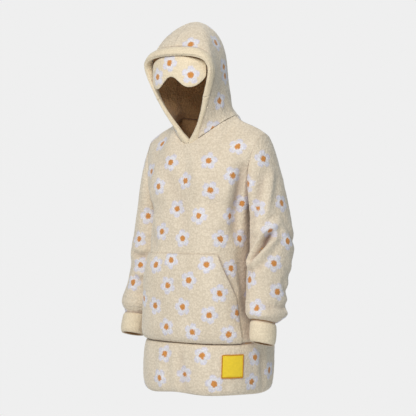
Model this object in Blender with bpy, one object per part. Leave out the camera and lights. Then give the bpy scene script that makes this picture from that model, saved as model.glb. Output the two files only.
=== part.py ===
"""An oversized sherpa hoodie, filled out as when it is worn, with a padded eye mask inside its hood.

Metres, +Z up. The front faces -Y and the wearer's left is +X. The origin is the middle of the neck, at the
height where the shoulders carry the garment. Left and right are the wearer's.

The sewn panels share one net of outer points. Each panel takes its part of the net, gets the same inward
directions as its neighbours, and draws back from each seam by half the seam's gap.
"""

import math
from collections import Counter, defaultdict, namedtuple

import bmesh
import bpy
import numpy as np

COLLECTION = "sherpa_hoodie"

# Cloth
WALL = 0.005  # two layers of sherpa fleece, back to back
SEAM_GAP = 0.0003
SHARPEST_MITRE = 0.3  # limits how far a corner point draws back from two seams
LABEL_THICKNESS = 0.0015

# How finely the net is divided
QUARTER_COLUMNS = 10  # from the front's centre to the side seam
NECK_COLUMNS = 5  # of those, the ones that end at the neck and not on the shoulder
ARMHOLE_STEPS = 9  # from the underarm to the shoulder tip
SLEEVE_STEPS = 2  # between two rows of the sleeve's table
HOOD_ROWS = 7  # from the neck to the upper corner of the face opening
CROWN_ROWS = 6  # from there to the top of the head
CURVE_STEPS = 12  # between two given points of a curve
ROUND_STEPS = 180  # along a quarter of a ring, before it is cut into columns

# Points that are inside the garment, for telling outward from inward
INSIDE_CHEST = (0.0, 0.0, -0.200)
INSIDE_HOOD = (0.0, -0.060, 0.130)

# Neck and shoulders
NECK_FRONT = (0.0, -0.109, -0.062)
NECK_BACK = (0.0, 0.090, 0.022)
NECK_SIDE = (0.106, -0.003, 0.028)
NECKLINE_FRONT = [
    NECK_FRONT,
    (0.030, -0.104, -0.052),
    (0.062, -0.090, -0.029),
    (0.093, -0.060, 0.002),
    NECK_SIDE,
]
NECKLINE_BACK = [NECK_BACK, (0.050, 0.080, 0.022), (0.090, 0.044, 0.025), NECK_SIDE]
SHOULDER_TIP = (0.224, 0.005, -0.027)
SHOULDER_SEAM = [NECK_SIDE, (0.150, 0.001, 0.010), (0.194, 0.004, -0.008), SHOULDER_TIP]

# Armhole: an oval in a leaning plane, from the underarm to the shoulder tip
UNDERARM = (0.184, 0.005, -0.255)
ARMHOLE_DEPTH_FRONT = 0.070
ARMHOLE_DEPTH_BACK = 0.072

# Torso, from the hem seam up to the underarm
Ring = namedtuple("Ring", "height half_width front_depth back_depth centre_y front_squareness back_squareness")
TORSO = [
    Ring(-0.695, 0.206, 0.172, 0.173, 0.012, 2.7, 2.6),
    Ring(-0.683, 0.212, 0.179, 0.179, 0.011, 2.7, 2.6),
    Ring(-0.655, 0.205, 0.179, 0.177, 0.009, 2.9, 2.6),
    Ring(-0.620, 0.195, 0.176, 0.174, 0.008, 3.0, 2.6),
    Ring(-0.585, 0.187, 0.174, 0.172, 0.007, 3.2, 2.6),
    Ring(-0.550, 0.182, 0.174, 0.170, 0.006, 3.3, 2.6),
    Ring(-0.515, 0.179, 0.174, 0.168, 0.005, 3.4, 2.6),
    Ring(-0.480, 0.176, 0.174, 0.166, 0.004, 3.5, 2.6),
    Ring(-0.446, 0.174, 0.173, 0.164, 0.003, 3.5, 2.6),
    Ring(-0.412, 0.172, 0.172, 0.162, 0.003, 3.5, 2.6),
    Ring(-0.375, 0.172, 0.170, 0.160, 0.003, 3.4, 2.6),
    Ring(-0.335, 0.173, 0.167, 0.157, 0.003, 3.2, 2.6),
    Ring(-0.300, 0.174, 0.163, 0.154, 0.004, 3.0, 2.5),
    Ring(-0.274, 0.177, 0.160, 0.152, 0.005, 2.8, 2.4),
    Ring(-0.255, 0.184, 0.157, 0.151, 0.005, 2.6, 2.4),
]
CHEST_PROFILE = [(0.0, -0.152, -0.255), (0.0, -0.137, -0.165), NECK_FRONT]
YOKE_LATENESS = 1.7  # how late the chest takes the corner between neckline and shoulder
UPPER_BACK_PROFILE = [(0.0, 0.156, -0.255), (0.0, 0.148, -0.130), (0.0, 0.116, -0.030), NECK_BACK]

# Hem band, from the hem seam down to its edge, which curls in
HEM_BAND = [
    Ring(-0.706, 0.210, 0.178, 0.178, 0.009, 2.7, 2.6),
    Ring(-0.745, 0.213, 0.181, 0.180, 0.005, 2.7, 2.6),
    Ring(-0.800, 0.213, 0.181, 0.179, 0.002, 2.7, 2.6),
    Ring(-0.838, 0.210, 0.178, 0.177, 0.000, 2.7, 2.6),
    Ring(-0.854, 0.203, 0.171, 0.170, 0.000, 2.7, 2.6),
    Ring(-0.859, 0.193, 0.161, 0.160, 0.000, 2.7, 2.6),
]

# Sleeve rings, each from an inner point by the body to an outer point away from it. Their front side is raised
# where the forearm reaches forward
SleeveRing = namedtuple("SleeveRing", "inner_x inner_z outer_x outer_z centre_y half_depth front_drop")
SLEEVE = [
    SleeveRing(0.1865, -0.262, 0.240, -0.067, 0.006, 0.074, 0.000),
    SleeveRing(0.186, -0.270, 0.255, -0.122, 0.008, 0.077, 0.000),
    SleeveRing(0.184, -0.280, 0.271, -0.185, 0.012, 0.079, 0.000),
    SleeveRing(0.1805, -0.300, 0.286, -0.262, 0.016, 0.080, 0.000),
    SleeveRing(0.1775, -0.335, 0.301, -0.325, 0.016, 0.081, 0.000),
    SleeveRing(0.1755, -0.385, 0.312, -0.385, 0.012, 0.082, -0.002),
    SleeveRing(0.1770, -0.435, 0.312, -0.438, 0.002, 0.080, -0.006),
    SleeveRing(0.1805, -0.490, 0.308, -0.492, -0.012, 0.076, -0.010),
    SleeveRing(0.1870, -0.545, 0.311, -0.545, -0.028, 0.072, -0.012),
    SleeveRing(0.1930, -0.580, 0.319, -0.582, -0.040, 0.069, -0.012),
    SleeveRing(0.2010, -0.602, 0.317, -0.605, -0.050, 0.062, -0.012),
    SleeveRing(0.215, -0.616, 0.306, -0.618, -0.058, 0.049, -0.011),
    SleeveRing(0.221, -0.623, 0.301, -0.625, -0.060, 0.041, -0.010),
]
CUFF = [
    SleeveRing(0.219, -0.634, 0.304, -0.636, -0.061, 0.044, -0.010),
    SleeveRing(0.219, -0.662, 0.305, -0.664, -0.064, 0.045, -0.010),
    SleeveRing(0.221, -0.684, 0.303, -0.686, -0.066, 0.043, -0.010),
    SleeveRing(0.226, -0.692, 0.298, -0.694, -0.066, 0.037, -0.010),
]

# Hood: its long lines from the neck up, then the crown over them
HOOD_BACK_LINE = [NECK_BACK, (0.0, 0.073, 0.062), (0.0, 0.060, 0.110), (0.0, 0.050, 0.204)]
HOOD_SIDE_LINE = [NECK_SIDE, (0.098, -0.020, 0.070), (0.096, -0.045, 0.130), (0.102, -0.070, 0.204)]
HOOD_FRONT_LINE = [
    (0.047, -0.108, -0.016),
    (0.064, -0.115, 0.011),
    (0.084, -0.123, 0.045),
    (0.103, -0.129, 0.093),
    (0.114, -0.129, 0.124),
    (0.123, -0.127, 0.160),
    (0.128, -0.131, 0.190),
    (0.121, -0.147, 0.214),
]
BRIM_SEAM = [
    HOOD_FRONT_LINE[-1],
    (0.104, -0.160, 0.230),
    (0.078, -0.171, 0.241),
    (0.040, -0.183, 0.246),
    (0.0, -0.188, 0.247),
]
CROWN_TOP = (0.0, -0.070, 0.342)
CROWN_FULLNESS_BACK = 2.25  # exponent of the crown's arch: 2 is round, more is squarer
CROWN_FULLNESS_FRONT = 1.35
HOOD_SIDE_HOLLOW = 0.003  # how far its sides fall in, level with the opening's upper corners

# The padded roll round the face opening
OPENING_EDGE = [
    (0.0, -0.097, -0.045),
    (0.027, -0.110, -0.016),
    (0.068, -0.132, 0.042),
    (0.094, -0.148, 0.087),
    (0.110, -0.155, 0.118),
    (0.127, -0.162, 0.160),
    (0.134, -0.172, 0.192),
    (0.112, -0.192, 0.211),
    (0.082, -0.200, 0.217),
    (0.040, -0.209, 0.220),
    (0.0, -0.214, 0.221),
]
ROLL_THICKNESS_SIDE = 0.014
ROLL_THICKNESS_BRIM = 0.020
FACING_ROWS = 4  # rows of the hood's front edge that the facing follows; the brim has the rest
ROLL_SWELL_ROWS = 4  # rows beyond those in which it reaches the brim's thickness
# Section of the roll: share of the way from seam to front edge, and share of the thickness outward
ROLL_SECTION = [(0.25, 0.50), (0.70, 0.50), (1.00, 0.12), (0.97, -0.38), (0.62, -0.52), (0.25, -0.46)]

# Eye mask, hanging inside the brim
MASK_HALF_WIDTH = 0.108
MASK_FRONT_Y = -0.199
MASK_SIDE_Y = -0.154
MASK_TOP = 0.2180
MASK_TOP_DROP = 0.021
MASK_ROUNDING = 2.5  # exponent of its curve round the eyes
MASK_NOTCH = 0.152
MASK_LOBE_BOTTOM = 0.114
MASK_LOBE_SHARE = 0.58  # share of the half width at which a lobe is lowest
MASK_CORNER_BOTTOM = 0.150
MASK_CORNER_ROUNDING = 2.5
MASK_THICKNESS = 0.012
MASK_EDGE = 0.003
MASK_END_SQUARENESS = 6  # exponent of how the padding thins towards its ends
MASK_EDGE_SHARE = 0.06  # how far into the padding's arch its upper and lower edges lie
MASK_COLUMNS = 8
MASK_ROWS = 5

# Pocket, on the front's own columns and rows
POCKET_TOP_ROW = 9
POCKET_MOUTH_ROW = 5
POCKET_TOP_COLUMN = 5
POCKET_SIDE_COLUMN = 7
POCKET_MOUTH_HOLLOW = 0.7  # exponent of the mouth's line: below 1 it curves in towards the pocket's middle
POCKET_BULGE = 0.016
POCKET_ROUNDING_UP = 0.6  # exponent of the bulge's arch from the hem seam to the top edge
POCKET_ROUNDING_ACROSS = 4
POCKET_MOUTH_CLOSING = 0.25  # how far the bulge falls off towards an open mouth: 1 is a sewn edge

# Label on the hem band
LABEL_LEFT_COLUMN = 5.08
LABEL_RIGHT_COLUMN = 7.22
LABEL_TOP = -0.729
LABEL_BOTTOM = -0.800

# Largest folds: azimuth in degrees from the front towards the wearer's left, negative depth is a trough
TorsoFold = namedtuple("TorsoFold", "azimuth height half_spread half_length lean depth")
TORSO_FOLDS = [
    TorsoFold(62, -0.320, 9, 0.090, 0, -0.009),
    TorsoFold(40, -0.300, 10, 0.120, 10, 0.005),
    TorsoFold(-50, -0.350, 9, 0.150, 0, -0.008),
    TorsoFold(-30, -0.600, 9, 0.060, 20, -0.005),
    TorsoFold(150, -0.450, 12, 0.160, 15, -0.009),
    TorsoFold(-155, -0.420, 12, 0.170, -15, -0.009),
    TorsoFold(180, -0.560, 13, 0.090, 0, 0.008),
    TorsoFold(110, -0.600, 10, 0.060, 0, -0.006),
    TorsoFold(-110, -0.590, 10, 0.060, 0, -0.006),
]
# Sleeve folds run across the sleeve: azimuth 0 is by the body, 90 the front, 180 the outer side
SleeveFold = namedtuple("SleeveFold", "side azimuth height half_spread half_length slant depth")
SLEEVE_FOLDS = [
    SleeveFold(1, 75, -0.385, 55, 0.016, 0.050, -0.012),
    SleeveFold(1, 60, -0.430, 50, 0.016, -0.040, 0.007),
    SleeveFold(1, 110, -0.520, 60, 0.018, 0.020, -0.009),
    SleeveFold(1, 250, -0.480, 60, 0.020, -0.030, -0.007),
    SleeveFold(1, 180, -0.606, 150, 0.014, 0.000, 0.008),
    SleeveFold(-1, 80, -0.370, 60, 0.016, 0.040, -0.010),
    SleeveFold(-1, 100, -0.450, 60, 0.018, -0.030, -0.009),
    SleeveFold(-1, 200, -0.500, 70, 0.018, 0.020, -0.009),
    SleeveFold(-1, 260, -0.430, 60, 0.020, 0.030, -0.007),
    SleeveFold(-1, 150, -0.605, 170, 0.012, 0.000, -0.009),
]

# Colours
SHERPA_PRINT = (0.80, 0.72, 0.58, 1.0)
SHERPA_PLAIN = (0.80, 0.70, 0.52, 1.0)
LABEL_YELLOW = (0.86, 0.55, 0.06, 1.0)


def clear_scene():
    for obj in list(bpy.data.objects):
        bpy.data.objects.remove(obj, do_unlink=True)


def make_material(name, colour):
    material = bpy.data.materials.new(name)
    material.use_nodes = True
    shader = material.node_tree.nodes["Principled BSDF"]
    shader.inputs["Base Color"].default_value = colour
    shader.inputs["Roughness"].default_value = 0.95
    shader.inputs["Metallic"].default_value = 0.0
    return material


def resample(polyline, count):
    """This many points at even steps along a fine polyline."""
    steps = np.linalg.norm(np.diff(polyline, axis=0), axis=1)
    along = np.concatenate([[0.0], np.cumsum(steps)])
    wanted = np.linspace(0.0, along[-1], count)
    points = np.column_stack([np.interp(wanted, along, column) for column in polyline.T])
    points[0] = polyline[0]
    points[-1] = polyline[-1]
    return points


def smooth_curve(points, count):
    """This many evenly spaced points along a smooth curve through the given ones."""
    points = np.array(points, float)
    along = np.concatenate([[0.0], np.cumsum(np.linalg.norm(np.diff(points, axis=0), axis=1))])
    slopes = np.gradient(points, along, axis=0)
    fine = [points[0]]
    for k in range(len(points) - 1):
        length = along[k + 1] - along[k]
        for t in np.linspace(0.0, 1.0, CURVE_STEPS + 1)[1:]:
            start = (2 * t**3 - 3 * t**2 + 1) * points[k] + (t**3 - 2 * t**2 + t) * length * slopes[k]
            end = (3 * t**2 - 2 * t**3) * points[k + 1] + (t**3 - t**2) * length * slopes[k + 1]
            fine.append(start + end)
    return resample(np.array(fine), count)


def coons(bottom, top, left, right, lateness=1.0):
    """A net of rows between four edges: bottom and top run left to right, left and right run upward.

    With a lateness over 1, the rows take the top edge's shape nearer to that edge.
    """
    rows = []
    for j, v in enumerate(np.linspace(0.0, 1.0, len(left))):
        row = []
        upward = v**lateness
        for i, u in enumerate(np.linspace(0.0, 1.0, len(bottom))):
            ruled = (1 - upward) * bottom[i] + upward * top[i] + (1 - u) * left[j] + u * right[j]
            low = (1 - u) * bottom[0] + u * bottom[-1]
            high = (1 - u) * top[0] + u * top[-1]
            row.append(ruled - (1 - upward) * low - upward * high)
        rows.append(row)
    rows[0] = list(bottom)
    rows[-1] = list(top)
    for j, row in enumerate(rows):
        row[0] = left[j]
        row[-1] = right[j]
    return rows


def mirrored(points):
    return [np.array((-point[0], point[1], point[2])) for point in points]


def bump(offset, half_size):
    return math.exp(-((offset / half_size) ** 2))


class Net:
    """Outer points of the sewn panels, and the faces of each panel."""

    def __init__(self):
        self.index = {}
        self.points = []
        self.faces = defaultdict(list)
        self.fixed_normals = {}

    def vertex(self, point):
        key = tuple(round(float(value), 5) + 0.0 for value in point)
        if key not in self.index:
            self.index[key] = len(self.points)
            self.points.append(np.array(point, float))
        return self.index[key]

    def add_face(self, panel, corners, inside):
        """Adds a face that is turned away from the point inside. Corners that coincide become one."""
        ids = list(dict.fromkeys(self.vertex(corner) for corner in corners))
        if len(ids) < 3:
            return
        area = self.face_area(ids)
        middle = np.mean([self.points[i] for i in ids], axis=0)
        if np.dot(area, middle - np.array(inside)) < 0:
            ids = ids[:1] + ids[:0:-1]
        self.faces[panel].append(ids)

    def face_area(self, ids):
        corners = [self.points[i] for i in ids]
        last = corners[3] - corners[1] if len(ids) == 4 else corners[2] - corners[1]
        return np.cross(corners[2] - corners[0], last) / 2

    def add_grid(self, panel, rows, insides):
        """Adds the faces between neighbouring rows. insides has a point for each gap between rows."""
        for low, high, inside in zip(rows, rows[1:], insides):
            for i in range(len(low) - 1):
                self.add_face(panel, (low[i], low[i + 1], high[i + 1], high[i]), inside)

    def normals(self):
        total = np.zeros((len(self.points), 3))
        for faces in self.faces.values():
            for ids in faces:
                area = self.face_area(ids)
                for i in ids:
                    total[i] += area
        total /= np.linalg.norm(total, axis=1)[:, None]
        for i, normal in self.fixed_normals.items():
            total[i] = normal
        return total

    def seams(self):
        """The edges that two panels share, each as its two points in order."""
        owners = defaultdict(set)
        for panel, faces in self.faces.items():
            for ids in faces:
                for a, b in zip(ids, ids[1:] + ids[:1]):
                    owners[min(a, b), max(a, b)].add(panel)
        return {edge for edge, panels in owners.items() if len(panels) > 1}


def draw_back(net, normals, faces, edges):
    """How far each point of a panel draws back from the seams that it lies on."""
    towards = defaultdict(list)
    for ids in faces:
        middle = np.mean([net.points[i] for i in ids], axis=0)
        for a, b in zip(ids, ids[1:] + ids[:1]):
            if (min(a, b), max(a, b)) not in edges:
                continue
            across = np.cross(normals[a] + normals[b], net.points[b] - net.points[a])
            across /= np.linalg.norm(across)
            if np.dot(across, middle - (net.points[a] + net.points[b]) / 2) < 0:
                across = -across
            towards[a].append(across)
            towards[b].append(across)
    moves = {}
    for i, directions in towards.items():
        first, last = directions[0], directions[-1]
        moves[i] = SEAM_GAP / 2 * (first + last) / max(1 + np.dot(first, last), SHARPEST_MITRE)
    return moves


def add_object(name, mesh_data, colour, collection):
    mesh = bpy.data.meshes.new(name)
    bmesh.ops.recalc_face_normals(mesh_data, faces=mesh_data.faces)
    mesh_data.to_mesh(mesh)
    mesh_data.free()
    mesh.shade_smooth()
    mesh.materials.append(make_material(name, colour))
    obj = bpy.data.objects.new(name, mesh)
    collection.objects.link(obj)
    return obj


def cloth_wall(outer, inner, faces):
    """A closed wall from outer and inner points by number, with a rim along each open edge.

    The rim's diagonal follows the points' numbers, so two panels at one seam cut their rims alike.
    """
    data = bmesh.new()
    used = sorted({i for ids in faces for i in ids})
    out = {i: data.verts.new(outer[i]) for i in used}
    back = {i: data.verts.new(inner[i]) for i in used}
    count = Counter((min(a, b), max(a, b)) for ids in faces for a, b in zip(ids, ids[1:] + ids[:1]))
    for ids in faces:
        data.faces.new([out[i] for i in ids])
        data.faces.new([back[i] for i in ids[:1] + ids[:0:-1]])
    for (a, b), uses in count.items():
        if uses == 1:
            data.faces.new((out[a], out[b], back[b]))
            data.faces.new((out[a], back[b], back[a]))
    return data


def panel_object(net, normals, edges, name, colour, collection):
    moves = draw_back(net, normals, net.faces[name], edges)
    still = np.zeros(3)
    used = {i for ids in net.faces[name] for i in ids}
    outer = {i: net.points[i] + moves.get(i, still) for i in used}
    inner = {i: outer[i] - WALL * normals[i] for i in used}
    return add_object(name, cloth_wall(outer, inner, net.faces[name]), colour, collection)


def patch_object(name, base, outward, lift, thickness, colour, collection):
    """A piece that lies on a panel: base points, their outward directions and how far each is lifted."""
    net = Net()
    outer = {}
    inner = {}
    for j, row in enumerate(base):
        for i, point in enumerate(row):
            key = net.vertex(point)
            inner[key] = point + outward[j][i] * (SEAM_GAP + lift[j][i])
            outer[key] = inner[key] + outward[j][i] * thickness
    insides = [row[len(row) // 2] - directions[len(row) // 2] for row, directions in zip(base, outward)]
    net.add_grid(name, base, insides)
    return add_object(name, cloth_wall(outer, inner, net.faces[name]), colour, collection)


def quarter_round(half_width, depth, squareness):
    """From the middle of one face of the body to its side, at the given depth, as plan coordinates."""
    turn = np.linspace(0.0, math.pi / 2, ROUND_STEPS + 1)
    x = half_width * np.sin(turn) ** (2 / squareness)
    y = depth * np.cos(turn) ** (2 / squareness)
    x[0] = 0.0
    y[-1] = 0.0
    return resample(np.column_stack([x, y]), QUARTER_COLUMNS + 1)


def torso_fold(point):
    """The folds' push outward at this point of the torso."""
    azimuth = math.degrees(math.atan2(point[0], -point[1]))
    push = 0.0
    for fold in TORSO_FOLDS:
        rise = point[2] - fold.height
        turn = azimuth - fold.azimuth - fold.lean * rise / fold.half_length
        turn = (turn + 180.0) % 360.0 - 180.0
        push += fold.depth * bump(turn, fold.half_spread) * bump(rise, fold.half_length)
    return push


def half_row(ring, side, front):
    """Points from the middle of the front or back to the side seam, on the wearer's left or right."""
    depth = -ring.front_depth if front else ring.back_depth
    squareness = ring.front_squareness if front else ring.back_squareness
    points = []
    for x, y in quarter_round(ring.half_width, depth, squareness):
        points.append(np.array((side * x, y + ring.centre_y, ring.height)))
    return points


def full_row(ring, front, folded=True):
    """Points across the front or the back, from the wearer's right side seam to the left one."""
    row = half_row(ring, -1, front)[:0:-1] + half_row(ring, 1, front)
    if not folded:
        return row
    centre = np.array((0.0, ring.centre_y, ring.height))
    return [point + (point - centre) / np.linalg.norm(point - centre) * torso_fold(point) for point in row]


def armhole_point(azimuth):
    """A point on the armhole of the wearer's left: 0 is the underarm, 90 the front, 180 the shoulder tip."""
    low, high = np.array(UNDERARM), np.array(SHOULDER_TIP)
    turn = math.radians(azimuth)
    depth = ARMHOLE_DEPTH_FRONT if azimuth <= 180 else ARMHOLE_DEPTH_BACK
    sideways = 0.0 if azimuth in (0, 180, 360) else math.sin(turn) * depth
    return (low + high) / 2 - math.cos(turn) * (high - low) / 2 - np.array((0.0, sideways, 0.0))


def armhole_normal(azimuth):
    """Outward from the armhole's middle, in its plane."""
    low, high = np.array(UNDERARM), np.array(SHOULDER_TIP)
    half = np.linalg.norm(high - low) / 2
    turn = math.radians(azimuth)
    upward = (high - low) / (2 * half)
    normal = -math.cos(turn) / half * upward - np.array((0.0, math.sin(turn) / ARMHOLE_DEPTH_FRONT, 0.0))
    return normal / np.linalg.norm(normal)


def sleeve_azimuths():
    return [180 * step / ARMHOLE_STEPS for step in range(2 * ARMHOLE_STEPS + 1)]


def upper_half(front):
    """The net above the underarm, from the body's middle to the wearer's left armhole."""
    bottom = half_row(TORSO[-1], 1, front)
    bottom[-1] = np.array(UNDERARM)
    neckline = NECKLINE_FRONT if front else NECKLINE_BACK
    shoulder_columns = QUARTER_COLUMNS - NECK_COLUMNS
    top = list(smooth_curve(neckline, NECK_COLUMNS + 1))
    top += list(smooth_curve(SHOULDER_SEAM, shoulder_columns + 1)[1:])
    middle = smooth_curve(CHEST_PROFILE if front else UPPER_BACK_PROFILE, ARMHOLE_STEPS + 1)
    azimuths = sleeve_azimuths()[: ARMHOLE_STEPS + 1]
    edge = [armhole_point(azimuth if front else 360 - azimuth) for azimuth in azimuths]
    return coons(bottom, top, middle, edge, lateness=YOKE_LATENESS)


def body_rows(front):
    """All rows of the front or the back, from the hem seam to the shoulders."""
    rows = [full_row(ring, front) for ring in TORSO[:-1]]
    upper = upper_half(front)
    for half in upper:
        rows.append(mirrored(half)[:0:-1] + half)
    return rows


def add_body(net):
    insides = [(0.0, 0.0, ring.height) for ring in TORSO[1:]] + [INSIDE_CHEST] * ARMHOLE_STEPS
    for name, front in (("front", True), ("back", False)):
        net.add_grid(name, body_rows(front), insides)
    for side in (1, -1):
        for azimuth in sleeve_azimuths()[:-1]:
            flip = np.array((side, 1, 1))
            key = net.vertex(armhole_point(azimuth) * flip)
            net.fixed_normals[key] = armhole_normal(azimuth) * flip


def add_hem_band(net):
    for front in (True, False):
        rows = [full_row(TORSO[0], front)]
        rows += [full_row(ring, front, folded=False) for ring in HEM_BAND]
        net.add_grid("hem_band", rows, [(0.0, 0.0, ring.height) for ring in HEM_BAND])


def sleeve_fold(side, azimuth, height):
    push = 0.0
    for fold in SLEEVE_FOLDS:
        if fold.side != side:
            continue
        turn = (azimuth - fold.azimuth + 180.0) % 360.0 - 180.0
        rise = height - fold.height - fold.slant * turn / 90.0
        push += fold.depth * bump(turn, fold.half_spread) * bump(rise, fold.half_length)
    return push


def sleeve_ring_points(ring, side, folded):
    """One ring of a sleeve or cuff, closed, starting by the body and passing the front."""
    inner = np.array((ring.inner_x, ring.centre_y, ring.inner_z))
    outer = np.array((ring.outer_x, ring.centre_y, ring.outer_z))
    forward = np.array((0.0, -ring.half_depth, -ring.front_drop))
    points = []
    for azimuth in sleeve_azimuths():
        turn = math.radians(azimuth % 360)
        arm = -math.cos(turn) * (outer - inner) / 2 + math.sin(turn) * forward
        point = (inner + outer) / 2 + arm
        if folded:
            point = point + arm / np.linalg.norm(arm) * sleeve_fold(side, azimuth, point[2])
        points.append(point * np.array((side, 1, 1)))
    return points


def between_rings(rings):
    """The table's rings with smooth ones between them."""
    table = np.array(rings, float)
    count = (len(rings) - 1) * SLEEVE_STEPS + 1
    places = np.linspace(0, len(rings) - 1, count)
    slopes = np.gradient(table, axis=0)
    result = []
    for place in places:
        k = min(int(place), len(rings) - 2)
        t = place - k
        start = (2 * t**3 - 3 * t**2 + 1) * table[k] + (t**3 - 2 * t**2 + t) * slopes[k]
        end = (3 * t**2 - 2 * t**3) * table[k + 1] + (t**3 - t**2) * slopes[k + 1]
        result.append(SleeveRing(*(start + end)))
    return result


def between_rows(rows):
    """For each two neighbouring closed rows, the point in the middle of both."""
    middles = [np.mean(row[:-1], axis=0) for row in rows]
    return [(low + high) / 2 for low, high in zip(middles, middles[1:])]


def add_sleeve(net, side, suffix):
    flip = np.array((side, 1, 1))
    rings = between_rings(SLEEVE)
    rows = [[armhole_point(azimuth % 360) * flip for azimuth in sleeve_azimuths()]]
    rows += [sleeve_ring_points(ring, side, folded=True) for ring in rings[:-1]]
    rows.append(sleeve_ring_points(SLEEVE[-1], side, folded=False))
    net.add_grid("sleeve_" + suffix, rows, between_rows(rows))
    cuff_rows = [rows[-1]] + [sleeve_ring_points(ring, side, folded=False) for ring in CUFF]
    net.add_grid("cuff_" + suffix, cuff_rows, between_rows(cuff_rows))


def hood_front_corner():
    """Where the hood's front edge meets the neckline, one column away from the middle."""
    return smooth_curve(NECKLINE_FRONT, NECK_COLUMNS + 1)[1]


def hood_front_edge():
    return smooth_curve([hood_front_corner()] + HOOD_FRONT_LINE, HOOD_ROWS + 1)


def hood_top_row():
    """The row through the upper corner of the face opening, from the middle of the back to that corner."""
    middle = np.array(HOOD_BACK_LINE[-1])
    side = np.array(HOOD_SIDE_LINE[-1])
    corner = np.array(HOOD_FRONT_LINE[-1])
    fine = []
    for turn in np.linspace(0.0, math.pi / 2, ROUND_STEPS + 1):
        across = math.sin(turn) * side[0]
        back = side[1] + math.cos(turn) * (middle[1] - side[1])
        fine.append((across, back, middle[2] + (side[2] - middle[2]) * turn / (math.pi / 2)))
    behind = resample(np.array(fine), NECK_COLUMNS + 1)
    behind[0] = middle
    behind[-1] = side
    between = (side + corner) / 2 - np.array((HOOD_SIDE_HOLLOW, 0.0, 0.0))
    forward = smooth_curve([side, between, corner], NECK_COLUMNS)
    return list(behind) + list(forward[1:])


def hood_half_rows():
    """Rows of the wearer's left hood half up to the opening's upper corner."""
    neck_back = smooth_curve(NECKLINE_BACK, NECK_COLUMNS + 1)
    neck_front = smooth_curve(NECKLINE_FRONT, NECK_COLUMNS + 1)[:0:-1]
    back_line = smooth_curve(HOOD_BACK_LINE, HOOD_ROWS + 1)
    side_line = smooth_curve(HOOD_SIDE_LINE, HOOD_ROWS + 1)
    top = hood_top_row()
    behind = coons(neck_back, top[: NECK_COLUMNS + 1], back_line, side_line)
    forward = coons(neck_front, top[NECK_COLUMNS:], side_line, hood_front_edge())
    return [left + right[1:] for left, right in zip(behind, forward)]


def crown_rows():
    """Rows from the hood's top row and the brim seam up to the top of the head."""
    start = hood_top_row() + list(smooth_curve(BRIM_SEAM, NECK_COLUMNS + 1)[1:])
    peak = np.array(CROWN_TOP)
    rows = [start]
    for step in range(1, CROWN_ROWS):
        turn = math.pi / 2 * step / CROWN_ROWS
        row = []
        for i, point in enumerate(start):
            share = i / (len(start) - 1)
            fullness = CROWN_FULLNESS_BACK + (CROWN_FULLNESS_FRONT - CROWN_FULLNESS_BACK) * share
            in_plan = math.cos(turn) ** (2 / fullness)
            upward = math.sin(turn) ** (2 / fullness)
            row.append(
                np.array(
                    (
                        point[0] * in_plan,
                        peak[1] + (point[1] - peak[1]) * in_plan,
                        point[2] + (peak[2] - point[2]) * upward,
                    )
                )
            )
        rows.append(row)
    rows.append([peak] * len(start))
    return rows


def add_hood(net, side, name):
    flip = np.array((side, 1, 1))
    for rows in (hood_half_rows(), crown_rows()):
        turned = [[point * flip for point in row] for row in rows]
        net.add_grid(name, turned, [INSIDE_HOOD] * (len(rows) - 1))


def roll_stations(net, normals):
    """Seam points, their outward directions and the front edge, from the V to the middle of the brim."""
    neckline = smooth_curve(NECKLINE_FRONT, NECK_COLUMNS + 1)
    seam = [neckline[0]] + list(hood_front_edge()) + list(smooth_curve(BRIM_SEAM, NECK_COLUMNS + 1)[1:])
    outward = [normals[net.vertex(point)] for point in seam]
    edge = smooth_curve(OPENING_EDGE, len(seam))
    return seam, outward, edge


def roll_section(seam, outward, edge, along, thickness):
    """One section of the padded roll, from the seam's outer corner round to its inner corner."""
    middle = seam - outward * WALL / 2
    forward = edge - middle
    across = np.cross(along, forward)
    across /= np.linalg.norm(across)
    if np.dot(across, outward) < 0:
        across = -across
    clear = forward / np.linalg.norm(forward) * SEAM_GAP
    points = [seam + clear]
    for share, height in ROLL_SECTION:
        points.append(middle + forward * share + across * height * thickness)
    points.append(seam - outward * WALL + clear)
    return points


def roll_object(name, sections, numbers, colour, collection):
    """A solid through these sections, with both ends closed as fans.

    The face on the seam is cut along the same diagonal as the neighbour's rim, by the seam points' numbers.
    """
    data = bmesh.new()
    rings = [[data.verts.new(point) for point in section] for section in sections]
    for k in range(len(rings) - 1):
        low, high = rings[k], rings[k + 1]
        for i in range(len(low) - 1):
            data.faces.new((low[i], low[i + 1], high[i + 1], high[i]))
        first, second = (low, high) if numbers[k] < numbers[k + 1] else (high, low)
        data.faces.new((first[0], second[0], second[-1]))
        data.faces.new((first[0], second[-1], first[-1]))
    for ring in (rings[0], rings[-1]):
        for i in range(1, len(ring) - 1):
            data.faces.new((ring[0], ring[i], ring[i + 1]))
    return add_object(name, data, colour, collection)


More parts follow.
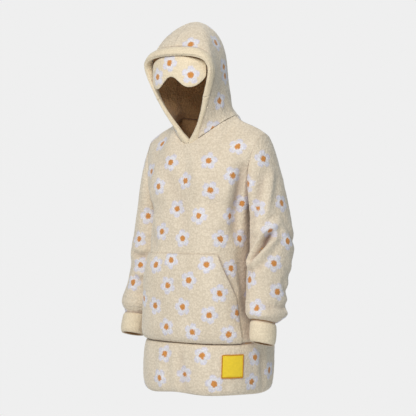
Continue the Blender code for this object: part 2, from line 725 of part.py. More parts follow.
def add_rolls(net, normals, colour, collection):
    seam, outward, edge = roll_stations(net, normals)
    last = len(seam) - 1
    sections = []
    for k in range(last + 1):
        ahead, behind = min(k + 1, last), max(k - 1, 0)
        along = edge[ahead] + seam[ahead] - edge[behind] - seam[behind]
        if k in (0, last):
            along = np.array((1.0, 0.0, 0.0))
        share = min(max((k - FACING_ROWS) / ROLL_SWELL_ROWS, 0.0), 1.0)
        thickness = ROLL_THICKNESS_SIDE + (ROLL_THICKNESS_BRIM - ROLL_THICKNESS_SIDE) * share
        sections.append(roll_section(seam[k], outward[k], edge[k], along, thickness))
    for point in sections[0]:
        point[0] = SEAM_GAP / 2
    join = FACING_ROWS + 1
    step = np.mean(sections[join + 1], axis=0) - np.mean(sections[join], axis=0)
    apart = step / np.linalg.norm(step) * SEAM_GAP / 2
    lower = sections[:join] + [[point - apart for point in sections[join]]]
    upper = [[point + apart for point in sections[join]]] + sections[join + 1 :]
    numbers = {}
    for side, name in ((1, "facing_left"), (-1, "facing_right")):
        flip = np.array((side, 1, 1))
        numbers[side] = [net.vertex(point * flip) for point in seam]
        turned = [[point * flip for point in section] for section in lower]
        roll_object(name, turned, numbers[side], colour, collection)
    right = [mirrored(section) for section in upper]
    round_brim = numbers[-1][join:-1] + numbers[1][join:][::-1]
    roll_object("hood_brim", right[:-1] + upper[::-1], round_brim, colour, collection)


def mask_bottom(share):
    """Height of the mask's lower edge: a notch for the nose, a lobe for each eye, and rounded corners."""
    away = abs(share)
    if away < MASK_LOBE_SHARE:
        arch = (1 + math.cos(math.pi * away / MASK_LOBE_SHARE)) / 2
        return MASK_LOBE_BOTTOM + (MASK_NOTCH - MASK_LOBE_BOTTOM) * arch
    rise = (away - MASK_LOBE_SHARE) / (1 - MASK_LOBE_SHARE)
    return MASK_LOBE_BOTTOM + (MASK_CORNER_BOTTOM - MASK_LOBE_BOTTOM) * rise**MASK_CORNER_ROUNDING


def mask_object(colour, collection):
    outer = {}
    inner = {}
    net = Net()
    rows = []
    for row in range(MASK_ROWS + 1):
        up = row / MASK_ROWS
        points = []
        for column in range(-MASK_COLUMNS, MASK_COLUMNS + 1):
            share = column / MASK_COLUMNS
            x = MASK_HALF_WIDTH * share
            away = abs(share) ** MASK_ROUNDING
            y = MASK_FRONT_Y + (MASK_SIDE_Y - MASK_FRONT_Y) * away
            top = MASK_TOP - MASK_TOP_DROP * away
            z = mask_bottom(share) + (top - mask_bottom(share)) * up
            point = np.array((x, y, z))
            slope = MASK_ROUNDING * (MASK_SIDE_Y - MASK_FRONT_Y) / MASK_HALF_WIDTH
            slope *= math.copysign(abs(share) ** (MASK_ROUNDING - 1), share)
            facing = np.array((slope, -1.0, 0.0)) / math.hypot(slope, 1.0)
            arch = math.sin(math.pi * (MASK_EDGE_SHARE + (1 - 2 * MASK_EDGE_SHARE) * up))
            swell = math.sqrt(arch * (1 - share**MASK_END_SQUARENESS))
            half = MASK_EDGE / 2 + (MASK_THICKNESS - MASK_EDGE) / 2 * swell
            key = net.vertex(point)
            outer[key] = point + facing * half
            inner[key] = point - facing * half
            points.append(point)
        rows.append(points)
    net.add_grid("eye_mask", rows, [INSIDE_HOOD] * MASK_ROWS)
    return add_object("eye_mask", cloth_wall(outer, inner, net.faces["eye_mask"]), colour, collection)


def sampled(rows, normals, net, row, column):
    """Point and outward direction at a fractional row and column of a panel's net."""
    j, i = min(int(row), len(rows) - 2), min(int(column), len(rows[0]) - 2)
    v, u = row - j, column - i
    shares = {
        (j, i): (1 - u) * (1 - v),
        (j, i + 1): u * (1 - v),
        (j + 1, i): (1 - u) * v,
        (j + 1, i + 1): u * v,
    }
    point = sum(rows[a][b] * share for (a, b), share in shares.items())
    normal = sum(normals[net.vertex(rows[a][b])] * share for (a, b), share in shares.items())
    return point, normal / np.linalg.norm(normal)


def pocket_object(net, normals, colour, collection):
    """The pocket's net uses the front's rows and columns, so its sewn edges lie on the front's own edges."""
    rows = body_rows(front=True)
    base, outward, lift = [], [], []
    for row in range(POCKET_TOP_ROW + 1):
        above_mouth = max(0, row - POCKET_MOUTH_ROW) / (POCKET_TOP_ROW - POCKET_MOUTH_ROW)
        inwards = (POCKET_SIDE_COLUMN - POCKET_TOP_COLUMN) * above_mouth**POCKET_MOUTH_HOLLOW
        edge_column = POCKET_SIDE_COLUMN - inwards
        points, directions, heights = [], [], []
        for k in range(-POCKET_SIDE_COLUMN, POCKET_SIDE_COLUMN + 1):
            beyond = max(0, abs(k) - POCKET_TOP_COLUMN) / (POCKET_SIDE_COLUMN - POCKET_TOP_COLUMN)
            column = min(abs(k), POCKET_TOP_COLUMN) + beyond * (edge_column - POCKET_TOP_COLUMN)
            column = QUARTER_COLUMNS + math.copysign(column, k)
            point, direction = sampled(rows, normals, net, row, column)
            closing = 1.0 if row <= POCKET_MOUTH_ROW else POCKET_MOUTH_CLOSING
            up = 0.0
            if 0 < row < POCKET_TOP_ROW:
                up = math.sin(math.pi * row / POCKET_TOP_ROW) ** POCKET_ROUNDING_UP
            across = math.sqrt(1 - closing * (abs(k) / POCKET_SIDE_COLUMN) ** POCKET_ROUNDING_ACROSS)
            points.append(point)
            directions.append(direction)
            heights.append(POCKET_BULGE * up * across)
        base.append(points)
        outward.append(directions)
        lift.append(heights)
    return patch_object("pocket", base, outward, lift, WALL, colour, collection)


def label_object(net, normals, colour, collection):
    """The label takes in the band's own columns and rows between its edges."""
    rows = [full_row(TORSO[0], front=True)]
    rows += [full_row(ring, front=True, folded=False) for ring in HEM_BAND]
    heights = [row[0][2] for row in rows]
    between = [height for height in heights if LABEL_BOTTOM < height < LABEL_TOP]
    whole_columns = range(math.ceil(LABEL_LEFT_COLUMN), math.ceil(LABEL_RIGHT_COLUMN))
    columns = [LABEL_LEFT_COLUMN, *whole_columns, LABEL_RIGHT_COLUMN]
    base, outward = [], []
    for height in [LABEL_TOP] + between + [LABEL_BOTTOM]:
        place = np.interp(-height, [-value for value in heights], range(len(heights)))
        places = [sampled(rows, normals, net, place, QUARTER_COLUMNS + column) for column in columns]
        base.append([point for point, _ in places])
        outward.append([normal for _, normal in places])
    lift = [[0.0] * len(row) for row in base]
    return patch_object("label", base, outward, lift, LABEL_THICKNESS, colour, collection)


def build():
    clear_scene()
    collection = bpy.data.collections.new(COLLECTION)
    bpy.context.scene.collection.children.link(collection)

    net = Net()
    add_body(net)
    add_hem_band(net)
    for side, suffix in ((1, "left"), (-1, "right")):
        add_sleeve(net, side, suffix)
        add_hood(net, side, "hood_" + suffix)

    normals = net.normals()
    edges = net.seams()
    plain = ("cuff_left", "cuff_right")
    for name in list(net.faces):
        colour = SHERPA_PLAIN if name in plain else SHERPA_PRINT
        panel_object(net, normals, edges, name, colour, collection)

    add_rolls(net, normals, SHERPA_PLAIN, collection)
    mask_object(SHERPA_PRINT, collection)
    pocket_object(net, normals, SHERPA_PRINT, collection)
    label_object(net, normals, LABEL_YELLOW, collection)


build()
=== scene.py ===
"""The looks of an oversized sherpa hoodie, filled out as when it is worn, with an eye mask inside its hood.

Metres, +Z up. The front faces -Y and the wearer's left is +X. Each cloth piece is the form of its solid,
made fine: its seams dip, its creases are placed one by one, and its pile stands up in small curls. The
printed daisies are drawn by the material on a UV map that holds, on each face, the place within the nearest
daisy.
"""

import itertools
import math
import random
from collections import namedtuple

import bmesh
import bpy
import numpy as np
from mathutils import Matrix, Vector, bvhtree, kdtree, noise


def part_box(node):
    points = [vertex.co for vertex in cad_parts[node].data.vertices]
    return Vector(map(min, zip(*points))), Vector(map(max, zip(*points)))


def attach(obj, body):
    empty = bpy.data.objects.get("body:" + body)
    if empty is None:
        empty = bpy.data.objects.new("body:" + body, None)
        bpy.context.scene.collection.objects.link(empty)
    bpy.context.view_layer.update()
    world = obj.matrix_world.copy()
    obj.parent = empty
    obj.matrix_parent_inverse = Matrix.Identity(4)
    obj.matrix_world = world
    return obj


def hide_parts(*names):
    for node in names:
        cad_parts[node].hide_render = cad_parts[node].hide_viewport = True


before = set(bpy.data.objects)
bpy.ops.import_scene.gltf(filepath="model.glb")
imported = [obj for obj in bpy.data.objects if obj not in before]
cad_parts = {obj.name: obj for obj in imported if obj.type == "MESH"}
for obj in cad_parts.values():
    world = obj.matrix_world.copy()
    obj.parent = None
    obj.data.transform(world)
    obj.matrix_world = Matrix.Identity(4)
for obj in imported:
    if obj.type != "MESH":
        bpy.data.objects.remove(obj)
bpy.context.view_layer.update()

# The photograph's frame, in its own pixels
PHOTO_SIZE = 416
AXIS_PIXEL = 208.5
HORIZON_PIXEL = 203.0
FOCAL_PIXELS = 1303.0
SENSOR_MM = 36.0

# Camera
CAMERA_AZIMUTH = math.radians(37)
CAMERA_DISTANCE = 4.3
CAMERA_HEIGHT = -0.25

# Surroundings
FLOOR_HEIGHT = -1.45
FLOOR_RADIUS = 2.6
BACKGROUND = (0.863, 0.863, 0.863)
FILL_COLOUR = (0.84, 0.94, 1.0)
FILL_STRENGTH = 0.36
LAMP_DISTANCE = 4.2
LAMP_SIZE = 2.2
Lamp = namedtuple("Lamp", "name azimuth elevation power colour")
LAMPS = [Lamp("key", 20, 30, 118, (1.0, 0.95, 0.88)), Lamp("back", 205, 35, 70, (1.0, 0.98, 0.96))]

# Cloth
CORNER = math.radians(50)  # a wall's sides and its rims meet at more than this
ARM_CORNER = math.radians(25)  # and a sleeve's at more than this
SHADED_CORNER = math.radians(62)
QUAD_FOLD = math.radians(40)  # triangles that meet flatter than this are joined to a quad
QUAD_SKEW = math.radians(80)
MERGE_DISTANCE = 0.00002
TOUCH = 0.0012  # pieces that are sewn together come this close
MIDDLE_FACING = 0.98  # a roll's end at the garment's middle faces this squarely sideways
MIDDLE_REACH = 0.002
CLOTH_LEVEL = 3  # times that a wall is subdivided
HOOD_SOFTENING = 3
ALL_AXES = ("use_axis_x", "use_axis_y", "use_axis_z")
OPEN_EDGE_HOLD = 0.6  # how much a turned edge keeps its shape when it is made smooth
OUTER, INNER, RIM = 0, 1, 2
STITCH = 2
NECK_POINT = (0.0, -0.109, -0.062)
DAISY_RADIUS = 0.0295
DAISY_SPACING = 0.088
NO_DAISY = 9.0  # a UV place that is outside every daisy

# Each cloth piece: the height below which it is open and not sewn, the corner between its sides and rims,
# the line that its walls surround, how it is held, and the cut before sewing
Cloth = namedtuple("Cloth", "node finish open_below corner axis held width length area")
TORSO_AXIS = ((0.0, 0.0, -0.86), (0.0, 0.0, -0.20))
HOOD_AXIS = ((0.0, -0.060, 0.0), (0.0, -0.070, 0.22))
ARM_AXES = {
    side: ((sign * 0.204, 0.005, -0.141), (sign * 0.245, 0.010, -0.40), (sign * 0.262, -0.064, -0.69))
    for side, sign in (("left", 1), ("right", -1))
}
NOWHERE = -9.0
CLOTHS = [
    Cloth("front", "print", NOWHERE, CORNER, TORSO_AXIS, "hung", 0.66, 0.70, 0.40),
    Cloth("back", "print", NOWHERE, CORNER, TORSO_AXIS, "hung", 0.66, 0.76, 0.43),
    Cloth("hem_band", "print", -0.85, CORNER, TORSO_AXIS, "gathered", 1.24, 0.18, None),
]
for side, axis in ARM_AXES.items():
    CLOTHS.append(Cloth("sleeve_" + side, "print", NOWHERE, ARM_CORNER, axis, "hung", 0.48, 0.60, 0.25))
for side, axis in ARM_AXES.items():
    CLOTHS.append(Cloth("cuff_" + side, "plain", -0.685, CORNER, axis, "gathered", 0.28, 0.08, None))
for side in ARM_AXES:
    CLOTHS.append(Cloth("hood_" + side, "print", NOWHERE, CORNER, HOOD_AXIS, "stretched", 0.30, 0.40, 0.10))
CLOTHS.append(Cloth("pocket", "print", NOWHERE, CORNER, TORSO_AXIS, "stretched", 0.46, 0.30, 0.13))

# Each padded piece
Pad = namedtuple("Pad", "node name finish slot level fill")
ROLLS = ("hood_brim", "facing_left", "facing_right")
PADS = [Pad(node, "roll_" + node, "plain", "sherpa_plain", 3, 0.5) for node in ROLLS]
PADS.append(Pad("eye_mask", "padded_eye_mask", "mask", "sherpa_print", 4, 0.4))

# Creases that the photograph shows, each through three of its pixels: for each node, rows with the columns
# of Crease. A negative depth is a trough
Crease = namedtuple("Crease", "places half_width depth")
SEEN_CREASES = {
    "sleeve_left": [
        (((271, 234), (260.5, 246.5), (249, 260)), 0.0095, -0.0240),
        (((262, 234), (255, 240), (248.5, 246)), 0.012, -0.0130),
        (((279, 222), (268, 229), (256, 232)), 0.012, 0.0080),
        (((276, 240), (264, 254), (253, 266)), 0.010, 0.0090),
        (((262, 266), (255, 268), (248, 274)), 0.010, -0.0050),
        (((272.7, 172), (270, 190), (267, 212)), 0.013, 0.0065),
        (((262, 176), (258, 196), (252, 220)), 0.016, -0.0070),
        (((284, 309), (268, 306), (253, 306)), 0.009, -0.0050),
        (((287, 314), (268, 314), (250, 313)), 0.009, 0.0045),
    ],
    "sleeve_right": [
        (((147, 254.5), (141, 255.5), (133, 253)), 0.009, -0.0100),
        (((147, 277), (141, 279), (134, 276)), 0.009, -0.0090),
        (((148, 262), (141, 266), (134, 268)), 0.010, 0.0035),
        (((147, 297), (140, 294), (133, 290)), 0.010, -0.0030),
    ],
    "front": [
        (((244, 168), (238, 198), (237, 236)), 0.018, -0.0120),
        (((228, 160), (226, 190), (224, 220)), 0.020, 0.0050),
        (((190, 150), (196, 182), (200, 220)), 0.024, 0.0045),
        (((151, 170), (153, 205), (155, 244)), 0.015, -0.0080),
        (((160, 160), (174, 190), (184, 226)), 0.022, -0.0045),
        (((238, 244), (238, 262), (241, 282)), 0.014, -0.0035),
    ],
    "hood_left": [
        (((205, 100), (207, 112), (213, 122)), 0.014, -0.0040),
        (((224, 96), (222, 108), (226, 118)), 0.014, 0.0030),
    ],
    "hem_band": [
        (((180, 350), (181, 368), (184, 391)), 0.016, -0.0060),
        (((197, 350), (199, 370), (202, 394)), 0.020, 0.0050),
        (((221, 384), (224, 390), (226, 395)), 0.014, -0.0040),
        (((262, 350), (262, 362), (263, 384)), 0.014, -0.0060),
        (((160, 350), (161, 366), (162, 388)), 0.016, 0.0035),
    ],
    "pocket": [
        (((160, 262), (176, 290), (186, 322)), 0.022, -0.0020),
        (((214, 268), (212, 292), (216, 320)), 0.022, 0.0020),
    ],
}

# Similar ones on the sides that it hides, each through three places: degrees round the axis and height
HIDDEN_CREASES = {
    "back": [
        (((150, -0.16), (160, -0.30), (166, -0.46)), 0.020, -0.0055),
        (((205, -0.20), (198, -0.34), (201, -0.50)), 0.018, -0.0050),
        (((180, -0.10), (178, -0.22), (182, -0.34)), 0.026, 0.0035),
        (((132, -0.38), (142, -0.50), (150, -0.64)), 0.016, -0.0045),
        (((236, -0.34), (226, -0.48), (214, -0.62)), 0.017, -0.0050),
        (((175, -0.50), (186, -0.58), (190, -0.67)), 0.016, -0.0035),
        (((110, -0.46), (116, -0.56), (124, -0.66)), 0.014, 0.0035),
    ],
    "front": [
        (((-62, -0.40), (-58, -0.52), (-64, -0.64)), 0.015, -0.0045),
        (((-78, -0.34), (-74, -0.46), (-80, -0.58)), 0.014, 0.0035),
        (((78, -0.36), (72, -0.48), (76, -0.60)), 0.014, -0.0045),
    ],
    "hem_band": [
        (((120, -0.715), (122, -0.77), (120, -0.83)), 0.014, -0.0030),
        (((168, -0.715), (170, -0.78), (168, -0.84)), 0.016, -0.0030),
        (((214, -0.715), (211, -0.77), (214, -0.83)), 0.013, -0.0030),
        (((262, -0.715), (264, -0.78), (261, -0.84)), 0.015, -0.0025),
    ],
    "hood_left": [
        (((150, 0.03), (140, 0.07), (128, 0.10)), 0.014, -0.0040),
        (((120, 0.04), (112, 0.08), (104, 0.13)), 0.016, 0.0030),
    ],
    "hood_right": [
        (((-150, 0.03), (-138, 0.06), (-124, 0.10)), 0.015, -0.0040),
        (((-100, 0.05), (-94, 0.10), (-96, 0.16)), 0.014, -0.0030),
        (((-165, 0.12), (-158, 0.18), (-150, 0.24)), 0.016, 0.0030),
    ],
    "sleeve_left": [
        (((150, -0.20), (160, -0.27), (175, -0.33)), 0.014, -0.0050),
        (((100, -0.33), (120, -0.36), (150, -0.38)), 0.013, -0.0055),
        (((110, -0.44), (135, -0.46), (165, -0.45)), 0.014, 0.0040),
        (((95, -0.50), (125, -0.53), (160, -0.52)), 0.012, -0.0055),
        (((70, -0.565), (110, -0.575), (150, -0.57)), 0.009, -0.0040),
    ],
    "sleeve_right": [
        (((-60, -0.22), (-66, -0.30), (-74, -0.37)), 0.015, -0.0050),
        (((-85, -0.36), (-110, -0.39), (-140, -0.38)), 0.013, -0.0060),
        (((-90, -0.45), (-120, -0.47), (-150, -0.44)), 0.014, 0.0040),
        (((-80, -0.50), (-110, -0.53), (-150, -0.52)), 0.012, -0.0055),
        (((-60, -0.56), (-100, -0.575), (-140, -0.565)), 0.009, -0.0045),
    ],
}

# Daisies that the photograph shows, by the pixel of each one's middle
SEEN_DAISIES = [
    (190.5, 43.8), (216.7, 42.1), (220.0, 100.9), (224.5, 67.0), (225.4, 76.0),
    (169.4, 62.9), (157.5, 77.0), (190.5, 74.9),
    (213.1, 128.8), (162.3, 144.0), (237.4, 146.2), (170.7, 162.4), (208.4, 160.4), (263.3, 158.7),
    (150.4, 171.2), (232.5, 175.6), (185.7, 180.8), (158.7, 186.5), (248.0, 184.0), (210.1, 190.2),
    (241.9, 203.7), (281.9, 203.1), (257.0, 208.0), (176.8, 208.5), (148.1, 216.0), (199.0, 216.0),
    (229.9, 216.1), (162.1, 231.5), (269.8, 230.1), (182.6, 238.4), (138.7, 239.0), (220.4, 239.1),
    (240.0, 238.7), (287.6, 241.0), (171.1, 260.1), (140.7, 264.9), (155.6, 264.9), (206.1, 264.3),
    (231.0, 268.4), (274.4, 263.2), (133.2, 282.5), (188.5, 280.2), (249.7, 279.6), (167.6, 285.4),
    (277.5, 291.7), (219.6, 293.6), (143.9, 298.4), (155.4, 305.7), (182.3, 306.8), (256.3, 307.6),
    (237.1, 312.8), (209.0, 315.1), (166.3, 326.9), (192.1, 332.3), (228.7, 334.6),
    (164.8, 353.7), (202.1, 355.8), (254.9, 357.3), (269.2, 370.0), (183.9, 374.6), (159.6, 377.7),
    (251.7, 381.8), (214.1, 384.1),
]
PRINTED = [cloth.node for cloth in CLOTHS if cloth.finish == "print"] + ["eye_mask"]

# How two pieces are joined: how dark the line is painted outside and inside, partly the sewn line's own dark
# and partly painted shadow in its groove, and how far it dips
Join = namedtuple("Join", "outside inside dip")
COMMON_JOIN = Join(0.15, 0.5, 0.0008)
# The pocket's mouth is an opening: its dark line is painted shadow
POCKET_MOUTH = Join(0.90, 0.2, 0.0024)
POCKET_MOUTH_HEIGHTS = (-0.540, -0.412)
# Open edges, as at the cuffs and hem, get a dark line of painted shade
OPEN_EDGE_PAINTED_SHADE = Join(0.45, 0.45, 0.0)
JOINS = {
    ("front", "hem_band"): Join(0.95, 0.6, 0.0026),
    ("back", "hem_band"): Join(0.95, 0.6, 0.0026),
    ("cuff", "sleeve"): Join(0.75, 0.5, 0.0024),
    ("hood", "hood_brim"): Join(0.85, 0.6, 0.0020),
    ("facing", "hood"): Join(0.35, 0.6, 0.0004),
    ("facing", "front"): Join(0.10, 0.6, 0.0),
    ("facing", "hood_brim"): Join(0.0, 0.0, -0.0004),
    ("facing", "facing"): Join(0.10, 0.1, 0.0),
    ("front", "hood"): Join(0.0, 0.9, -0.0006),
    ("back", "hood"): Join(0.05, 0.9, -0.0003),
    ("hood", "hood"): Join(0.08, 0.85, 0.0004),
    ("front", "sleeve"): Join(0.10, 0.5, 0.0005),
    ("front", "pocket"): Join(0.12, 0.1, 0.0012),
    ("hem_band", "pocket"): Join(0.95, 0.1, 0.0026),
    # The dark line along the brim above the mask is painted shadow
    ("eye_mask", "hood_brim"): Join(0.80, 0.8, 0.0004),
}
SEAM_HALF_WIDTH = 0.0045
PATH_STEP = 0.002  # between the points of a crease
SEAM_LINE = 0.0032  # half the width of the dark line
PAD_REACH = 0.002

# The hood runs into the shoulders in a soft hollow, with no edge
NECK_FILL = 0.011
NECK_FILL_WIDTH = 0.046
NECK_FILL_CENTRE = (0.0, -0.04, -0.13)
NECK_FILL_CLEAR_OF_V = (0.020, 0.075)

# The hem's lower edge isn't level: waves round it, by their number, height and start
HEM_WAVE_TOP = -0.76
HEM_BOTTOM = -0.859
HEM_WAVES = [(3, 0.0022, 0.6), (5, 0.0026, 2.1)]

# The right cuff swings out a little below the sleeve
CUFF_TOP = -0.615
CUFF_BOTTOM = -0.690
CUFF_LEAN = (-0.010, 0.0, 0.0)

# Pile
CURL_STRETCH = Vector((0.8, 0.8, 1.25))  # the curls lie in faint level rows
CURL_SIZE = 0.0080
CURL_HEIGHT = 0.0012
FINE_CURL_SIZE = 0.0050
FINE_CURL_HEIGHT = 0.0007
SMOOTH_PILE = 0.45  # how much of that height the plain rolls, cuffs and mask have

# What the material draws of the pile
CURL_SCALE = 150.0
CURL_BEND = (0.008, 0.008, 0.008)
BEND_SCALE = 90.0
FLUFF_SCALE = 420.0
CLOUD_SCALE = 11.0
CLOUD_SHADES = (0.955, 1.03)
STREAK_SCALE = (25.0, 25.0, 190.0)
STREAK_SHADES = (0.965, 1.025)

# Daisies: the notches between petals, and how ragged their edges are, in radii
PETALS = 5
NOTCH_POWER = 2.2
NOTCH_DEPTH = 0.34
PETAL_EDGE = (-0.10, 0.12)
TIP_START = (0.45, 1.0)
HEART_EDGE = (0.26, 0.42)
FRAY = (0.44, 0.44, 0.0)
FRAY_SCALE = 210.0

# Label
TWILL_SCALE = 260.0
WEAR_SCALE = 130.0
THREAD_SCALE = 900.0
STITCH_SPACING = 0.0017
STITCH_WIDTH = 1.1 * STITCH_SPACING
STITCH_LENGTH = 0.0048
STITCH_HEIGHT = 0.0010

# Painted shade, darkening the pile's colour in folds and between pieces that face each other closely
FOLD_SHADE = 0.90
FOLD_SHADE_DEPTH = 0.020
CREVICE_SIDES = ("front", "back", "sleeve_left", "sleeve_right", "cuff_left", "cuff_right")
CREVICE_START = 0.003
CREVICE_REACH = 0.045
CREVICE_SHADE = 0.62

# Colours
CREAM = (0.84, 0.735, 0.595, 1.0)
CREAM_PLAIN = (0.88, 0.76, 0.575, 1.0)
HOLLOW_SHARE = 0.86  # how dark the pile is painted between its curls: painted shade in the hollows
PETAL = (0.86, 0.85, 0.90, 1.0)
PETAL_TIP = (0.76, 0.74, 0.88, 1.0)
HEART = (0.72, 0.31, 0.085, 1.0)
# The inner side is cream fleece like the outer, painted dark brown as painted shade
INSIDE_PAINTED_SHADE = (0.64, 0.385, 0.185, 1.0)
SHADE_POWERS = (0.92, 1.0, 1.12)  # of red, green and blue: shade takes more of the blue
SEAM_AND_PAINTED_SHADE = (0.42, 0.33, 0.34, 1.0)  # what sewn lines, partly their own dark and partly painted shadow, and the painted shade of folds and crevices multiply the pile's colour by
LABEL_YELLOW = (1.0, 0.73, 0.050, 1.0)
LABEL_THREAD = (0.80, 0.34, 0.02, 1.0)
FLOOR_COLOUR = (0.93, 0.93, 0.92, 1.0)


def pixel_ray(pixel):
    """Where the camera stands, and the direction in which it sees this pixel of the photograph."""
    sine, cosine = math.sin(CAMERA_AZIMUTH), math.cos(CAMERA_AZIMUTH)
    origin = Vector((sine * CAMERA_DISTANCE, -cosine * CAMERA_DISTANCE, CAMERA_HEIGHT))
    right = Vector((cosine, sine, 0.0)) * (pixel[0] - AXIS_PIXEL) / FOCAL_PIXELS
    down = Vector((0.0, 0.0, -1.0)) * (pixel[1] - HORIZON_PIXEL) / FOCAL_PIXELS
    return origin, (Vector((-sine, cosine, 0.0)) + right + down).normalized()


def make_camera():
    """The camera, and plain sRGB colours like the photograph's."""
    bpy.context.scene.view_settings.view_transform = "Standard"
    camera = bpy.data.cameras.new("camera")
    camera.sensor_width = SENSOR_MM
    camera.sensor_fit = "HORIZONTAL"
    camera.lens = FOCAL_PIXELS / PHOTO_SIZE * SENSOR_MM
    camera.shift_x = (PHOTO_SIZE / 2 - AXIS_PIXEL) / PHOTO_SIZE
    camera.shift_y = (HORIZON_PIXEL - PHOTO_SIZE / 2) / PHOTO_SIZE
    obj = bpy.data.objects.new("camera", camera)
    obj.location = pixel_ray((AXIS_PIXEL, HORIZON_PIXEL))[0]
    obj.rotation_euler = (math.pi / 2, 0.0, CAMERA_AZIMUTH)
    bpy.context.collection.objects.link(obj)
    bpy.context.scene.camera = obj


def add_lamp(lamp):
    light = bpy.data.lights.new(lamp.name, "AREA")
    light.shape = "DISK"
    light.size = LAMP_SIZE
    light.energy = lamp.power
    light.color = lamp.colour
    obj = bpy.data.objects.new(lamp.name, light)
    turn, rise = math.radians(lamp.azimuth), math.radians(lamp.elevation)
    towards = Vector((math.sin(turn) * math.cos(rise), -math.cos(turn) * math.cos(rise), math.sin(rise)))
    obj.location = towards * LAMP_DISTANCE + Vector((0.0, 0.0, CAMERA_HEIGHT))
    obj.rotation_euler = towards.to_track_quat("Z", "Y").to_euler()
    bpy.context.collection.objects.link(obj)


def make_surroundings():
    """The background, a softer light from all round, the lamps and the floor."""
    world = bpy.data.worlds.new("studio")
    bpy.context.scene.world = world
    world.use_nodes = True
    wire = Wiring(world.node_tree)
    fill = wire.fill(wire.nodes["Background"], {"Color": (*FILL_COLOUR, 1.0), "Strength": FILL_STRENGTH})
    seen = wire.add("Background", {"Color": (*BACKGROUND, 1.0)})
    mix = wire.add("MixShader", {"Fac": wire.add("LightPath").outputs["Is Camera Ray"]})
    wire.put(fill.outputs[0], mix.inputs[1])
    wire.put(seen.outputs[0], mix.inputs[2])
    wire.put(mix.outputs[0], wire.nodes["World Output"].inputs["Surface"])
    for lamp in LAMPS:
        add_lamp(lamp)
    shape = bmesh.new()
    bmesh.ops.create_circle(shape, cap_ends=True, segments=96, radius=FLOOR_RADIUS)
    bmesh.ops.translate(shape, verts=shape.verts, vec=(0.0, 0.0, FLOOR_HEIGHT))
    floor = object_from(shape, "floor", [floor_material()])


def object_from(shape, name, materials):
    mesh = bpy.data.meshes.new(name)
    shape.to_mesh(mesh)
    shape.free()
    for material in materials:
        mesh.materials.append(material)
    obj = bpy.data.objects.new(name, mesh)
    bpy.context.collection.objects.link(obj)
    return obj


# Node groups


def new_group(name, inputs, outputs):
    """An empty shader group. inputs are (name, kind, default) and outputs are (name, kind)."""
    group = bpy.data.node_groups.new(name, "ShaderNodeTree")
    for label, kind, default in inputs:
        socket = group.interface.new_socket(label, in_out="INPUT", socket_type=kind)
        if default is not None:
            socket.default_value = default
    for label, kind in outputs:
        group.interface.new_socket(label, in_out="OUTPUT", socket_type=kind)
    return group, group.nodes.new("NodeGroupInput"), group.nodes.new("NodeGroupOutput")


class Wiring:
    """Short ways to add nodes to a tree and join them."""

    def __init__(self, tree):
        self.nodes = tree.nodes
        self.links = tree.links

    def put(self, value, socket):
        if isinstance(value, bpy.types.NodeSocket):
            self.links.new(value, socket)
        elif value is not None:
            socket.default_value = value

    def fill(self, node, values):
        for label, value in values.items():
            self.put(value, node.inputs[label])
        return node

    def add(self, kind, values=None, **settings):
        """A new node with these settings, then with these values or links at its inputs."""
        node = self.nodes.new("ShaderNode" + kind)
        for name, setting in settings.items():
            setattr(node, name, setting)
        return self.fill(node, values or {})

    def place(self):
        return self.add("TexCoord").outputs["Object"]

    def math(self, operation, *values, kind="Math"):
        return self.add(kind, dict(enumerate(values)), operation=operation).outputs[0]

    def vector(self, operation, *values):
        return self.math(operation, *values, kind="VectorMath")

    def times(self, first, second):
        return self.math("MULTIPLY", first, second)

    def colour(self, channels):
        return self.add("CombineColor", dict(enumerate(channels))).outputs[0]

    def smooth(self, value, low, high, to_low=0.0, to_high=1.0):
        values = {"Value": value, "From Min": low, "From Max": high, "To Min": to_low, "To Max": to_high}
        return self.add("MapRange", values, interpolation_type="SMOOTHSTEP").outputs["Result"]

    def noise(self, place, scale, detail=2.0, roughness=0.5, output="Fac"):
        values = {"Scale": scale, "Detail": detail, "Roughness": roughness, "Vector": place}
        return self.add("TexNoise", values).outputs[output]

    def mix(self, share, first, second, blend="MIX"):
        values = {"Factor": share, "A": first, "B": second}
        return self.add("Mix", values, data_type="RGBA", blend_type=blend).outputs["Result"]

    def bump(self, height, strength, distance, shader):
        bump = self.add("Bump", {"Strength": strength, "Distance": distance, "Height": height})
        self.put(bump.outputs["Normal"], shader.inputs["Normal"])


